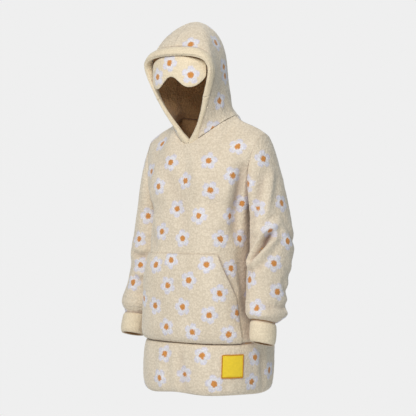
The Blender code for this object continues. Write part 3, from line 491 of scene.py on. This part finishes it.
def pile_group():
    """Curly pile: its colour, with painted shade between the curls, mottled, and darkened where the attribute
    marks sewn lines and painted shade, and its height.
    """
    group, entry, leave = new_group(
        "Sherpa Pile",
        [
            ("Tint", "NodeSocketColor", CREAM),
            ("Curl Scale", "NodeSocketFloat", CURL_SCALE),
            ("Hollow", "NodeSocketFloat", HOLLOW_SHARE),
            ("Seam", "NodeSocketFloat", 0.0),
        ],
        [("Colour", "NodeSocketColor"), ("Height", "NodeSocketFloat")],
    )
    wire = Wiring(group)
    place = wire.place()
    bend = wire.noise(place, BEND_SCALE, output="Color")
    bent = wire.vector("MULTIPLY_ADD", bend, CURL_BEND, place)
    values = {"Smoothness": 0.35, "Vector": bent, "Scale": entry.outputs["Curl Scale"]}
    curls = wire.add("TexVoronoi", values, feature="SMOOTH_F1")
    crown = wire.smooth(curls.outputs["Distance"], 0.15, 0.75, 1.0, 0.0)
    fluff = wire.noise(place, FLUFF_SCALE, 3.0, 0.65)
    height = wire.math("ADD", wire.times(crown, 0.7), wire.times(fluff, 0.5))
    cloudy = wire.smooth(wire.noise(place, CLOUD_SCALE, 3.0), 0.3, 0.7, *CLOUD_SHADES)
    stretched = wire.add("Mapping", {"Scale": STREAK_SCALE, "Vector": place})
    streaks = wire.smooth(wire.noise(stretched.outputs[0], 1.0), 0.3, 0.7, *STREAK_SHADES)
    # Painted shade: the colour is darker where the curls are low, in the hollows between them
    depth, hollow = wire.smooth(height, 0.2, 0.85), entry.outputs["Hollow"]
    shade = wire.math("MULTIPLY_ADD", depth, wire.math("SUBTRACT", 1.0, hollow), hollow)
    shade = wire.times(wire.times(shade, cloudy), streaks)
    grey = wire.colour([wire.math("POWER", shade, power) for power in SHADE_POWERS])
    colour = wire.mix(1.0, entry.outputs["Tint"], grey, blend="MULTIPLY")
    # Darkens the colour along sewn lines, partly their own dark and partly painted shadow, and with the
    # painted shade of folds and crevices
    colour = wire.mix(entry.outputs["Seam"], colour, wire.mix(1.0, colour, SEAM_AND_PAINTED_SHADE, blend="MULTIPLY"))
    wire.fill(leave, {"Colour": colour, "Height": height})
    return group


def daisy_group():
    """A daisy of five blunt petals round the place that comes in, printed on the ground colour."""
    group, entry, leave = new_group(
        "Daisy Print",
        [
            ("Ground", "NodeSocketColor", CREAM),
            ("Petal", "NodeSocketColor", PETAL),
            ("Tip", "NodeSocketColor", PETAL_TIP),
            ("Heart", "NodeSocketColor", HEART),
            ("Place", "NodeSocketVector", None),
        ],
        [("Colour", "NodeSocketColor")],
    )
    wire = Wiring(group)
    fray = wire.noise(wire.place(), FRAY_SCALE, output="Color")
    ragged = wire.vector("MULTIPLY_ADD", fray, FRAY, entry.outputs["Place"])
    split = wire.add("SeparateXYZ", {0: wire.vector("SUBTRACT", ragged, [part / 2 for part in FRAY])})
    across, up = split.outputs["X"], split.outputs["Y"]
    radius = wire.math("SQRT", wire.math("ADD", wire.times(across, across), wire.times(up, up)))
    petals = wire.times(wire.math("ARCTAN2", up, across), PETALS / math.tau)
    from_middle = wire.math("ABSOLUTE", wire.math("SUBTRACT", wire.math("FRACT", petals), 0.5))
    notch = wire.math("POWER", wire.times(from_middle, 2.0), NOTCH_POWER)
    edge = wire.math("SUBTRACT", 1.0, wire.times(notch, NOTCH_DEPTH))
    inside = wire.smooth(wire.math("SUBTRACT", edge, radius), *PETAL_EDGE)
    petal = wire.mix(wire.smooth(radius, *TIP_START), entry.outputs["Petal"], entry.outputs["Tip"])
    colour = wire.mix(inside, entry.outputs["Ground"], petal)
    colour = wire.mix(wire.smooth(radius, *HEART_EDGE, 1.0, 0.0), colour, entry.outputs["Heart"])
    wire.put(colour, leave.inputs["Colour"])
    return group


# Materials


def new_material(name, roughness, sheen):
    material = bpy.data.materials.new(name)
    material.use_nodes = True
    wire = Wiring(material.node_tree)
    shader = wire.fill(wire.nodes["Principled BSDF"], {"Roughness": roughness, "Sheen Weight": sheen})
    return material, wire.fill(shader, {"Sheen Roughness": 0.45, "Specular IOR Level": 0.15}), wire


def pile_material(name, tint, printed=False, curl_scale=CURL_SCALE, hollow=HOLLOW_SHARE, relief=0.0016):
    """Sherpa fleece in this tint, plain or printed with daisies."""
    material, shader, wire = new_material(name, 0.95, 0.35)
    if printed:
        place = wire.add("UVMap", uv_map="daisies").outputs["UV"]
        daisy = wire.add("Group", {"Ground": tint, "Place": place}, node_tree=GROUPS["daisy"])
        tint = daisy.outputs["Colour"]
    seam = wire.add("Attribute", attribute_name="seam").outputs["Fac"]
    values = {"Tint": tint, "Curl Scale": curl_scale, "Hollow": hollow, "Seam": seam}
    pile = wire.add("Group", values, node_tree=GROUPS["pile"])
    wire.put(pile.outputs["Colour"], shader.inputs["Base Color"])
    wire.bump(pile.outputs["Height"], 0.8, relief, shader)
    return material


def label_material():
    """Woven twill in yellow."""
    material, shader, wire = new_material("label twill", 0.6, 0.2)
    place = wire.place()
    values = {"Scale": TWILL_SCALE, "Distortion": 0.6, "Vector": place}
    lines = wire.add("TexWave", values, bands_direction="DIAGONAL")
    worn = wire.smooth(wire.noise(place, WEAR_SCALE, 3.0), 0.3, 0.75, 0.92, 1.0)
    grey = wire.colour([wire.times(wire.smooth(lines.outputs["Fac"], 0.1, 0.9, 0.94, 1.0), worn)] * 3)
    wire.put(wire.mix(1.0, LABEL_YELLOW, grey, blend="MULTIPLY"), shader.inputs["Base Color"])
    wire.bump(lines.outputs["Fac"], 0.5, 0.0003, shader)
    return material


def thread_material(name, colour):
    """Twisted sewing thread."""
    material, shader, wire = new_material(name, 0.5, 0.3)
    twist = wire.noise(wire.place(), THREAD_SCALE)
    darker = (*(0.75 * part for part in colour[:3]), 1.0)
    wire.put(wire.mix(wire.smooth(twist, 0.3, 0.7), darker, colour), shader.inputs["Base Color"])
    wire.bump(twist, 0.5, 0.0004, shader)
    return material


def floor_material():
    material, shader, wire = new_material("pale floor", 0.8, 0.0)
    cloudy = wire.smooth(wire.noise(wire.place(), 1.2), 0.3, 0.7)
    darker = (*(0.985 * part for part in FLOOR_COLOUR[:3]), 1.0)
    wire.put(wire.mix(cloudy, darker, FLOOR_COLOUR), shader.inputs["Base Color"])
    return material


# Forms


def merged_copy(node):
    """The node's mesh with its points merged and its triangles joined to quads."""
    shape = bmesh.new()
    shape.from_mesh(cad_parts[node].data)
    bmesh.ops.remove_doubles(shape, verts=shape.verts, dist=MERGE_DISTANCE)
    bmesh.ops.join_triangles(
        shape, faces=shape.faces, angle_face_threshold=QUAD_FOLD, angle_shape_threshold=QUAD_SKEW
    )
    shape.faces.ensure_lookup_table()
    return shape


def tree_of(points):
    tree = kdtree.KDTree(len(points))
    for index, point in enumerate(points):
        tree.insert(point, index)
    tree.balance()
    return tree


def family(node):
    return node.removesuffix("_left").removesuffix("_right")


class Seams:
    """Where the solids meet each other."""

    def __init__(self):
        self.places, self.owners = [], []
        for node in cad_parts:
            shape = merged_copy(node)
            self.places += [vertex.co.copy() for vertex in shape.verts]
            self.owners += [node] * len(shape.verts)
            shape.free()
        self.tree = tree_of(self.places)
        touching = [self.tree.find_range(place, TOUCH) for place in self.places]
        near = [{self.owners[index] for _, index, _ in found} for found in touching]
        self.corners = tree_of([place for place, nodes in zip(self.places, near) if len(nodes) > 2])
        collar = [
            np.array(place)
            for place, nodes in zip(self.places, near)
            if {"hood"} < {family(node) for node in nodes} and {"front", "back"} & nodes
        ]
        centre = np.array(NECK_FILL_CENTRE)
        collar.sort(key=lambda place: math.atan2(*(place - centre)[:2]))
        steps = np.linspace(0, 1, 12, endpoint=False)[:, None]
        runs = zip(collar, collar[1:] + collar[:1])
        self.collar = tree_of(np.concatenate([first + steps * (last - first) for first, last in runs]))
        self.lowest_collar = min(collar, key=lambda place: place[1])

    def join(self, node, point):
        """How the node is sewn at this point of its rim."""
        for _, index, _ in self.tree.find_n(point, 40):
            if self.owners[index] != node:
                if node == "pocket" and POCKET_MOUTH_HEIGHTS[0] < point[2] < POCKET_MOUTH_HEIGHTS[1]:
                    return POCKET_MOUTH
                pair = tuple(sorted((family(node), family(self.owners[index]))))
                return JOINS.get(pair, COMMON_JOIN)
        return COMMON_JOIN

    def neck_fill(self, points):
        """The push that rounds the hollow between hood and shoulders."""
        gap = np.array([self.collar.find(point)[2] for point in points])
        start, end = NECK_FILL_CLEAR_OF_V
        clear = np.clip((np.linalg.norm(points - self.lowest_collar, axis=1) - start) / (end - start), 0, 1)
        away = points - np.array(NECK_FILL_CENTRE)
        away /= np.linalg.norm(away, axis=1)[:, None]
        rise = NECK_FILL * np.clip(1 - gap / NECK_FILL_WIDTH, 0, 1) ** 2
        return (rise * clear)[:, None] * away


def mark_sides(shape, corner=CORNER):
    """Gives each face its side of the wall as its material index: the largest patch between corners is the
    outer side, the next is the inner side, and the others are rims."""
    for face in shape.faces:
        face.tag = False
    patches = []
    for start in shape.faces:
        if start.tag:
            continue
        start.tag = True
        patch = [start]
        for face in patch:
            for edge in face.edges:
                if edge.calc_face_angle(0.0) > corner:
                    continue
                for other in edge.link_faces:
                    if not other.tag:
                        other.tag = True
                        patch.append(other)
        patches.append(patch)
    patches.sort(key=lambda patch: -sum(face.calc_area() for face in patch))
    for index, patch in enumerate(patches):
        for face in patch:
            face.material_index = min(index, RIM)


def crease_corners(shape, corners):
    """Keeps points where three pieces meet where they are when the shape is subdivided."""
    at = shape.verts.layers.float.new("crease_vert")
    for vertex in shape.verts:
        if corners.find(vertex.co)[2] < TOUCH:
            vertex[at] = 1.0


def crease_roll(shape):
    """Keeps a roll's ends, also those at the garment's middle, where they are when it is subdivided."""
    along = shape.edges.layers.float.new("crease_edge")
    for edge in shape.edges:
        at_middle = any(
            abs(face.normal.x) > MIDDLE_FACING and abs(face.calc_center_median().x) < MIDDLE_REACH
            for face in edge.link_faces
        )
        if at_middle or edge.calc_face_angle(0.0) > CORNER:
            edge[along] = 1.0


def crease_seams(shape, open_below):
    """Keeps the wall's sewn edges where they are when it is subdivided. Open edges are left to round."""
    along = shape.edges.layers.float.new("crease_edge")
    for edge in shape.edges:
        sides = {face.material_index for face in edge.link_faces}
        if len(sides) > 1 or (sides == {RIM} and edge.calc_face_angle(0.0) > CORNER):
            open_edge = max(vertex.co.z for vertex in edge.verts) < open_below
            edge[along] = OPEN_EDGE_HOLD if open_edge else 1.0


def soften(shape, times):
    """Eases the ridges of both sides of a wall, away from its rims."""
    away = [vertex for vertex in shape.verts if all(face.material_index != RIM for face in vertex.link_faces)]
    for _ in range(times):
        bmesh.ops.smooth_vert(shape, verts=away, factor=0.5, **dict.fromkeys(ALL_AXES, True))


def refine(shape, name, level):
    """The shape as a smooth mesh, subdivided this many times."""
    obj = object_from(shape, name, [])
    smooth = obj.modifiers.new("smooth", "SUBSURF")
    smooth.levels = level
    smooth.render_levels = level
    graph = bpy.context.evaluated_depsgraph_get()
    mesh = bpy.data.meshes.new_from_object(obj.evaluated_get(graph))
    obj.modifiers.clear()
    coarse = obj.data
    obj.data = mesh
    bpy.data.meshes.remove(coarse)
    mesh.name = name
    return obj


class Surface:
    """A fine mesh as arrays: points, the four points of each face, face normals and sides."""

    def __init__(self, mesh):
        self.mesh = mesh
        self.points = np.empty(len(mesh.vertices) * 3)
        mesh.vertices.foreach_get("co", self.points)
        self.points = self.points.reshape(-1, 3)
        loops = np.empty(len(mesh.loops), int)
        mesh.loops.foreach_get("vertex_index", loops)
        self.faces = loops.reshape(-1, 4)
        self.side = np.empty(len(mesh.polygons), int)
        mesh.polygons.foreach_get("material_index", self.side)
        corners = self.points[self.faces]
        self.area = np.cross(corners[:, 2] - corners[:, 0], corners[:, 3] - corners[:, 1]) / 2
        self.middles = corners.mean(axis=1)

    def point_normals(self, faces):
        """Normals from these faces alone, and which points they touch."""
        total = np.zeros_like(self.points)
        for corner in range(4):
            np.add.at(total, self.faces[faces, corner], self.area[faces])
        length = np.linalg.norm(total, axis=1)
        touched = length > 0
        total[touched] /= length[touched, None]
        return total, touched

    def store(self, points):
        self.mesh.vertices.foreach_set("co", points.ravel())
        self.mesh.update()


def pile_height(points):
    """How far the curls stand up at each point."""
    heights = np.empty(len(points))
    for index, point in enumerate(points):
        place = Vector(point) * CURL_STRETCH
        curl = 0.5 - 1.6 * abs(noise.noise(place / CURL_SIZE))
        heights[index] = CURL_HEIGHT * curl + FINE_CURL_HEIGHT * noise.noise(place / FINE_CURL_SIZE)
    return heights


def smooth_path(places):
    """Closely spaced points along a soft curve through three places."""
    first, through, last = (np.array(place) for place in places)
    pull = 2 * through - (first + last) / 2
    count = max(8, int(np.linalg.norm(last - first) / PATH_STEP))
    share = np.linspace(0.0, 1.0, count)[:, None]
    return (1 - share) ** 2 * first + 2 * share * (1 - share) * pull + share**2 * last


def crease_push(points, path, half_width, depth):
    """The push of one crease: deepest midway, fading to its ends, with soft shoulders."""
    push = np.zeros(len(points))
    reach = 4 * half_width
    near = ((points > path.min(axis=0) - reach) & (points < path.max(axis=0) + reach)).all(axis=1)
    if not near.any():
        return push
    gaps = np.linalg.norm(points[near][:, None, :] - path[None, :, :], axis=2)
    closest = gaps.argmin(axis=1)
    gap = gaps[np.arange(len(gaps)), closest] / half_width
    share = closest / (len(path) - 1)
    fade = np.sin(np.pi * np.clip(0.12 + 0.76 * share, 0, 1)) ** 0.6
    push[near] = depth * fade * (np.exp(-(gap**2)) - 0.35 * np.exp(-((gap - 2.0) ** 2) / 0.8))
    return push


class Pieces:
    """The solids as surfaces to aim at."""

    def __init__(self):
        self.trees = {}
        for node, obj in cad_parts.items():
            points = [vertex.co.copy() for vertex in obj.data.vertices]
            faces = [tuple(face.vertices) for face in obj.data.polygons]
            self.trees[node] = bvhtree.BVHTree.FromPolygons(points, faces)

    def near(self, node, other):
        """Whether the boxes round two nodes come within reach of each other."""
        boxes = [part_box(name) for name in (node, other)]
        lows, highs = [np.array(box[0]) for box in boxes], [np.array(box[1]) for box in boxes]
        return bool((np.maximum(*lows) - np.minimum(*highs) < CREVICE_REACH).all())

    def first_hit(self, origin, direction, nodes=None):
        """(node, point, normal) of the first of these nodes that the ray meets."""
        best = None
        for node in nodes or self.trees:
            place, normal, _, distance = self.trees[node].ray_cast(origin, direction)
            if place is not None and (best is None or distance < best[0]):
                best = (distance, node, place, normal)
        return best[1:] if best else None

    def at_pixel(self, pixel, nodes=None):
        return self.first_hit(*pixel_ray(pixel), nodes)

    def around(self, node, azimuth, height):
        """The node's outer point at this azimuth and height, seen level from outside towards its axis."""
        axis = np.array(sorted(AXES[node], key=lambda place: place[2]))
        centre = Vector([np.interp(height, axis[:, 2], axis[:, part]) for part in (0, 1)] + [height])
        turn = math.radians(azimuth)
        away = Vector((math.sin(turn), -math.cos(turn), 0.0))
        return self.first_hit(centre + away, -away, [node])


def creases_of(node, pieces):
    """(path, half width, depth) of each crease on this node."""
    found = []
    for table in (SEEN_CREASES, HIDDEN_CREASES):
        for crease in itertools.starmap(Crease, table.get(node, [])):
            if table is SEEN_CREASES:
                hits = [pieces.at_pixel(pixel, [node]) for pixel in crease.places]
            else:
                hits = [pieces.around(node, *place) for place in crease.places]
            if all(hits):
                found.append((smooth_path([hit[1] for hit in hits]), crease.half_width, crease.depth))
    return found


def sew(surface, node, rims, open_below, seams):
    """For each point, its distance from the nearest edge and how that edge is finished."""
    points = surface.points[rims]
    joins = [seams.join(node, point) if point[2] > open_below else OPEN_EDGE_PAINTED_SHADE for point in points]
    edge = tree_of(points)
    found = [edge.find(point)[1:] for point in surface.points]
    gap = np.array([distance for _, distance in found])
    finish = np.array([joins[index] for index, _ in found])
    return gap, finish


def crevices(points, normals, on_outer, node, pieces):
    """How shaded each point is by another piece close by, as between arm and body."""
    shade = np.zeros(len(points))
    covered = ("front", "back") if node == "pocket" else (node,)
    others = [other for other in CREVICE_SIDES if other not in covered and pieces.near(node, other)]
    for index in np.nonzero(on_outer)[0]:
        direction = Vector(normals[index])
        origin = Vector(points[index]) + direction * CREVICE_START
        for other in others:
            distance = pieces.trees[other].ray_cast(origin, direction, CREVICE_REACH)[3]
            if distance is not None:
                shade[index] = max(shade[index], CREVICE_SHADE * (1 - distance / CREVICE_REACH))
    return shade


def hem_wave(points):
    """How far the hem's lower edge rises and falls round the garment."""
    turn = np.arctan2(points[:, 0], -points[:, 1])
    low = np.clip((HEM_WAVE_TOP - points[:, 2]) / (HEM_WAVE_TOP - HEM_BOTTOM), 0, 1)
    return low * sum(height * np.sin(count * turn + phase) for count, height, phase in HEM_WAVES)


def store_seam_and_painted_shade(mesh, dark):
    layer = mesh.attributes.new("seam", "FLOAT", "POINT")
    layer.data.foreach_set("value", np.clip(dark, 0, 1))


def dress_wall(obj, node, open_below, creases, seams, pieces, pile=1.0):
    """Pushes a wall's points: creases move both sides, seams dip, and the pile stands up."""
    surface = Surface(obj.data)
    outer_normal, on_outer = surface.point_normals(surface.side == OUTER)
    inner_normal, on_inner = surface.point_normals(surface.side == INNER)
    own = np.where(on_outer[:, None], outer_normal, inner_normal)
    outward = np.where(on_outer[:, None], outer_normal, -inner_normal)
    walls = on_outer | on_inner
    rims = np.unique(surface.faces[surface.side == RIM])
    gap, finish = sew(surface, node, rims, open_below, seams)
    near_seam = np.exp(-((gap / SEAM_HALF_WIDTH) ** 2))
    push = np.zeros(len(surface.points))
    for path, half_width, depth in creases:
        push += crease_push(surface.points, path, half_width, depth)
    calm = 1 - 0.9 * near_seam
    move = np.zeros_like(surface.points)
    heights = pile * pile_height(surface.points[walls])
    move[walls] = (calm * push)[walls, None] * outward[walls] + (calm[walls] * heights)[:, None] * own[walls]
    move[walls] -= (finish[:, 2] * near_seam)[walls, None] * own[walls]
    between = rims[~walls[rims]]
    edge_out, edge_in = rims[on_outer[rims]], rims[on_inner[rims]]
    if len(between) and len(edge_out) and len(edge_in):
        out_tree, in_tree = tree_of(surface.points[edge_out]), tree_of(surface.points[edge_in])
        for index in between:
            _, nearest_out, out_gap = out_tree.find(surface.points[index])
            _, nearest_in, in_gap = in_tree.find(surface.points[index])
            share = in_gap / max(out_gap + in_gap, 1e-9)
            move[index] = share * move[edge_out[nearest_out]] + (1 - share) * move[edge_in[nearest_in]]
    if family(node) in ("front", "back", "hood"):
        move += seams.neck_fill(surface.points)
    if node == "hem_band":
        move[:, 2] += hem_wave(surface.points)
    if node == "cuff_right":
        drop = np.clip((CUFF_TOP - surface.points[:, 2]) / (CUFF_TOP - CUFF_BOTTOM), 0, 1)
        move += drop[:, None] * np.array(CUFF_LEAN)
    # The colour's darkening: sewn lines, partly their own dark and partly painted shadow, then painted shade
    # in deep creases and between close pieces
    dark = np.where(on_outer, finish[:, 0], finish[:, 1]) * np.exp(-((gap / SEAM_LINE) ** 2))
    dark = np.maximum(dark, FOLD_SHADE * np.clip(-push / FOLD_SHADE_DEPTH, 0, 1) ** 1.4 * on_outer)
    if family(node) != "hood":
        dark = np.maximum(dark, crevices(surface.points, outer_normal, on_outer, node, pieces))
    store_seam_and_painted_shade(obj.data, dark)
    surface.store(surface.points + move)


def dress_pad(obj, node, seams):
    """Raises the pile on a padded piece, all round, and dips the lines where it is sewn and darkens them,
    partly with their own dark and partly as painted shadow.
    """
    surface = Surface(obj.data)
    normal, _ = surface.point_normals(np.ones(len(surface.side), bool))
    gap, finish = np.full(len(surface.points), 1.0), np.zeros((len(surface.points), 3))
    for index, point in enumerate(surface.points):
        for _, near, distance in seams.tree.find_n(point, 16):
            if seams.owners[near] != node:
                pair = tuple(sorted((family(node), family(seams.owners[near]))))
                gap[index], finish[index] = max(distance - PAD_REACH, 0.0), JOINS.get(pair, COMMON_JOIN)
                break
    height = SMOOTH_PILE * pile_height(surface.points)
    height -= finish[:, 2] * np.exp(-((gap / SEAM_HALF_WIDTH) ** 2))
    store_seam_and_painted_shade(obj.data, finish[:, 0] * np.exp(-((gap / SEAM_LINE) ** 2)))
    surface.store(surface.points + height[:, None] * normal)


# Print

Daisy = namedtuple("Daisy", "node place normal turn radius")


def in_sight(place, normal, eye, pieces):
    """Whether the photograph shows any of a daisy here, where it has no daisy."""
    side = normal.cross((0.0, 0.0, 1.0)).normalized()
    for offset in (Vector(), side, -side, normal.cross(side), -normal.cross(side)):
        point = place + offset * DAISY_RADIUS + normal * 0.006
        towards = (eye - point).normalized()
        if normal.dot(towards) > -0.05 and not pieces.first_hit(point, towards):
            return True
    return False


def place_daisies(pieces):
    """The daisies of each printed node: those the photograph shows, then a loose repeat over the rest."""
    chance = random.Random(5)
    daisies = []
    for pixel in SEEN_DAISIES:
        hit = pieces.at_pixel(pixel)
        if hit and hit[0] in PRINTED:
            daisies.append(Daisy(hit[0], hit[1], hit[2], chance.uniform(0, math.tau), DAISY_RADIUS))
    eye = pixel_ray((AXIS_PIXEL, HORIZON_PIXEL))[0]
    for node in PRINTED:
        shape = merged_copy(node)
        mark_sides(shape, ARM_CORNER if family(node) == "sleeve" else CORNER)
        bmesh.ops.subdivide_edges(shape, edges=shape.edges, cuts=1, use_grid_fill=True)
        outer = [face for face in shape.faces if face.material_index == OUTER]
        spots = [(face.calc_center_median(), face.normal.copy()) for face in outer]
        shape.free()
        chance.shuffle(spots)
        for place, normal in spots:
            if node == "eye_mask" and normal.y < 0:
                continue
            if min((place - daisy.place).length for daisy in daisies) < DAISY_SPACING:
                continue
            if in_sight(place, normal, eye, pieces) or (place - Vector(NECK_POINT)).length < DAISY_SPACING:
                continue
            radius = DAISY_RADIUS * chance.uniform(0.95, 1.05)
            daisies.append(Daisy(node, place, normal, chance.uniform(0, math.tau), radius))
    return daisies


def print_daisies(mesh, node, daisies):
    """Writes the UV map: on each outer face, the place within the node's daisy nearest to it."""
    surface = Surface(mesh)
    uv = np.full((len(surface.faces), 4, 2), NO_DAISY)
    best = np.full(len(surface.faces), 2 * DAISY_RADIUS)
    unit = surface.area / np.maximum(np.linalg.norm(surface.area, axis=1), 1e-12)[:, None]
    for daisy in daisies:
        if daisy.node != node:
            continue
        place, normal = np.array(daisy.place), np.array(daisy.normal)
        gap = np.linalg.norm(surface.middles - place, axis=1)
        chosen = (gap < best) & (unit @ normal > 0.2) & (surface.side != INNER)
        if not chosen.any():
            continue
        best[chosen] = gap[chosen]
        side = np.cross((0.0, 0.0, 1.0), normal)
        side /= np.linalg.norm(side)
        upward = np.cross(normal, side)
        away = surface.points[surface.faces[chosen]] - place
        across, up = away @ side, away @ upward
        stretch = np.linalg.norm(away, axis=2) / np.maximum(np.hypot(across, up), 1e-9)
        across, up = across * stretch, up * stretch
        cosine, sine = math.cos(daisy.turn), math.sin(daisy.turn)
        uv[chosen, :, 0] = (across * cosine - up * sine) / daisy.radius
        uv[chosen, :, 1] = (across * sine + up * cosine) / daisy.radius
    layer = mesh.uv_layers.new(name="daisies")
    layer.data.foreach_set("uv", uv.ravel())


# Pieces


def declare(obj, node):
    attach(obj, "root")
    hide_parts(node)


def finish_mesh(obj, materials, second=INNER):
    """Gives a mesh its finishes, the last of them to the faces whose material index says second."""
    mesh = obj.data
    for material in materials:
        mesh.materials.append(material)
    sides = np.empty(len(mesh.polygons), int)
    mesh.polygons.foreach_get("material_index", sides)
    mesh.polygons.foreach_set("material_index", np.where(sides == second, len(materials) - 1, 0))
    mesh.shade_smooth()
    mesh.set_sharp_from_angle(angle=SHADED_CORNER)


def make_cloth(cloth, pieces, seams, daisies):
    """A wall with its creases, seams and pile, its inside painted brown as painted shade."""
    shape = merged_copy(cloth.node)
    mark_sides(shape, cloth.corner)
    if family(cloth.node) == "hood":
        soften(shape, HOOD_SOFTENING)
    crease_seams(shape, cloth.open_below)
    crease_corners(shape, seams.corners)
    obj = refine(shape, "cloth_" + cloth.node, CLOTH_LEVEL)
    printed = cloth.finish == "print"
    pile = 1.0 if printed else SMOOTH_PILE
    dress_wall(obj, cloth.node, cloth.open_below, creases_of(cloth.node, pieces), seams, pieces, pile)
    if printed:
        print_daisies(obj.data, cloth.node, daisies)
    finish_mesh(obj, [MATERIALS[cloth.finish], MATERIALS["inside"]])
    declare(obj, cloth.node)


def make_pad(pad, seams, daisies):
    """A plain roll of the face opening, or the eye mask, which is printed on both sides."""
    shape = merged_copy(pad.node)
    for face in shape.faces:
        face.material_index = OUTER
    printed = pad.node in PRINTED
    if not printed:
        crease_roll(shape)
        crease_corners(shape, seams.corners)
    obj = refine(shape, pad.name, pad.level)
    dress_pad(obj, pad.node, seams)
    if printed:
        print_daisies(obj.data, pad.node, daisies)
    finish_mesh(obj, [MATERIALS[pad.finish]])
    declare(obj, pad.node)


def make_label():
    """The sewn patch: woven twill with a close row of stitches over its edge."""
    shape = merged_copy("label")
    mark_sides(shape)
    crease_roll(shape)
    for face in shape.faces:
        face.material_index = OUTER if face.material_index == OUTER else INNER
    rows = []
    for edge in shape.edges:
        if {face.material_index for face in edge.link_faces} != {OUTER, INNER}:
            continue
        top = next(face for face in edge.link_faces if face.material_index == OUTER)
        start, end = (vertex.co.copy() for vertex in edge.verts)
        along = end - start
        across = along.cross(top.normal).normalized()
        rows.append((start, along, across, top.normal.copy()))
    obj = refine(shape, "label_patch", CLOTH_LEVEL)
    patch = bmesh.new()
    patch.from_mesh(obj.data)
    for start, along, across, normal in rows:
        count = max(1, round(along.length / STITCH_SPACING))
        for step in range(count):
            middle = start + along * (step + 0.5) / count
            add_stitch(patch, middle, along.normalized(), across, normal)
    patch.to_mesh(obj.data)
    patch.free()
    finish_mesh(obj, [MATERIALS["label"], MATERIALS["label thread"]], STITCH)
    declare(obj, "label")


def add_stitch(patch, middle, along, across, normal):
    """One short rounded stitch that lies across the patch's edge."""
    made = bmesh.ops.create_icosphere(patch, subdivisions=1, radius=1.0)["verts"]
    size = Matrix.Diagonal((STITCH_WIDTH / 2, STITCH_LENGTH / 2, STITCH_HEIGHT, 1.0))
    turn = Matrix((along, across, normal)).transposed().to_4x4()
    place = Matrix.Translation(middle + normal * STITCH_HEIGHT * 0.3)
    bmesh.ops.transform(patch, matrix=place @ turn @ size, verts=made)
    for vertex in made:
        for face in vertex.link_faces:
            face.material_index = STITCH


GROUPS = {"pile": pile_group(), "daisy": daisy_group()}
MATERIALS = {
    "print": pile_material("printed sherpa", CREAM, printed=True),
    "mask": pile_material(
        "printed mask fleece", CREAM_PLAIN, printed=True, curl_scale=190.0, hollow=0.90, relief=0.0008
    ),
    "plain": pile_material("plain fleece", CREAM_PLAIN, curl_scale=190.0, hollow=0.88, relief=0.0010),
    # The inner sides' pile, painted brown as painted shade
    "inside": pile_material("inside pile", INSIDE_PAINTED_SHADE),
    "label": label_material(),
    "label thread": thread_material("label thread", LABEL_THREAD),
}
AXES = {cloth.node: cloth.axis for cloth in CLOTHS}

make_camera()
make_surroundings()
pieces = Pieces()
seams = Seams()
daisies = place_daisies(pieces)
for cloth in CLOTHS:
    make_cloth(cloth, pieces, seams, daisies)
for pad in PADS:
    make_pad(pad, seams, daisies)
make_label()
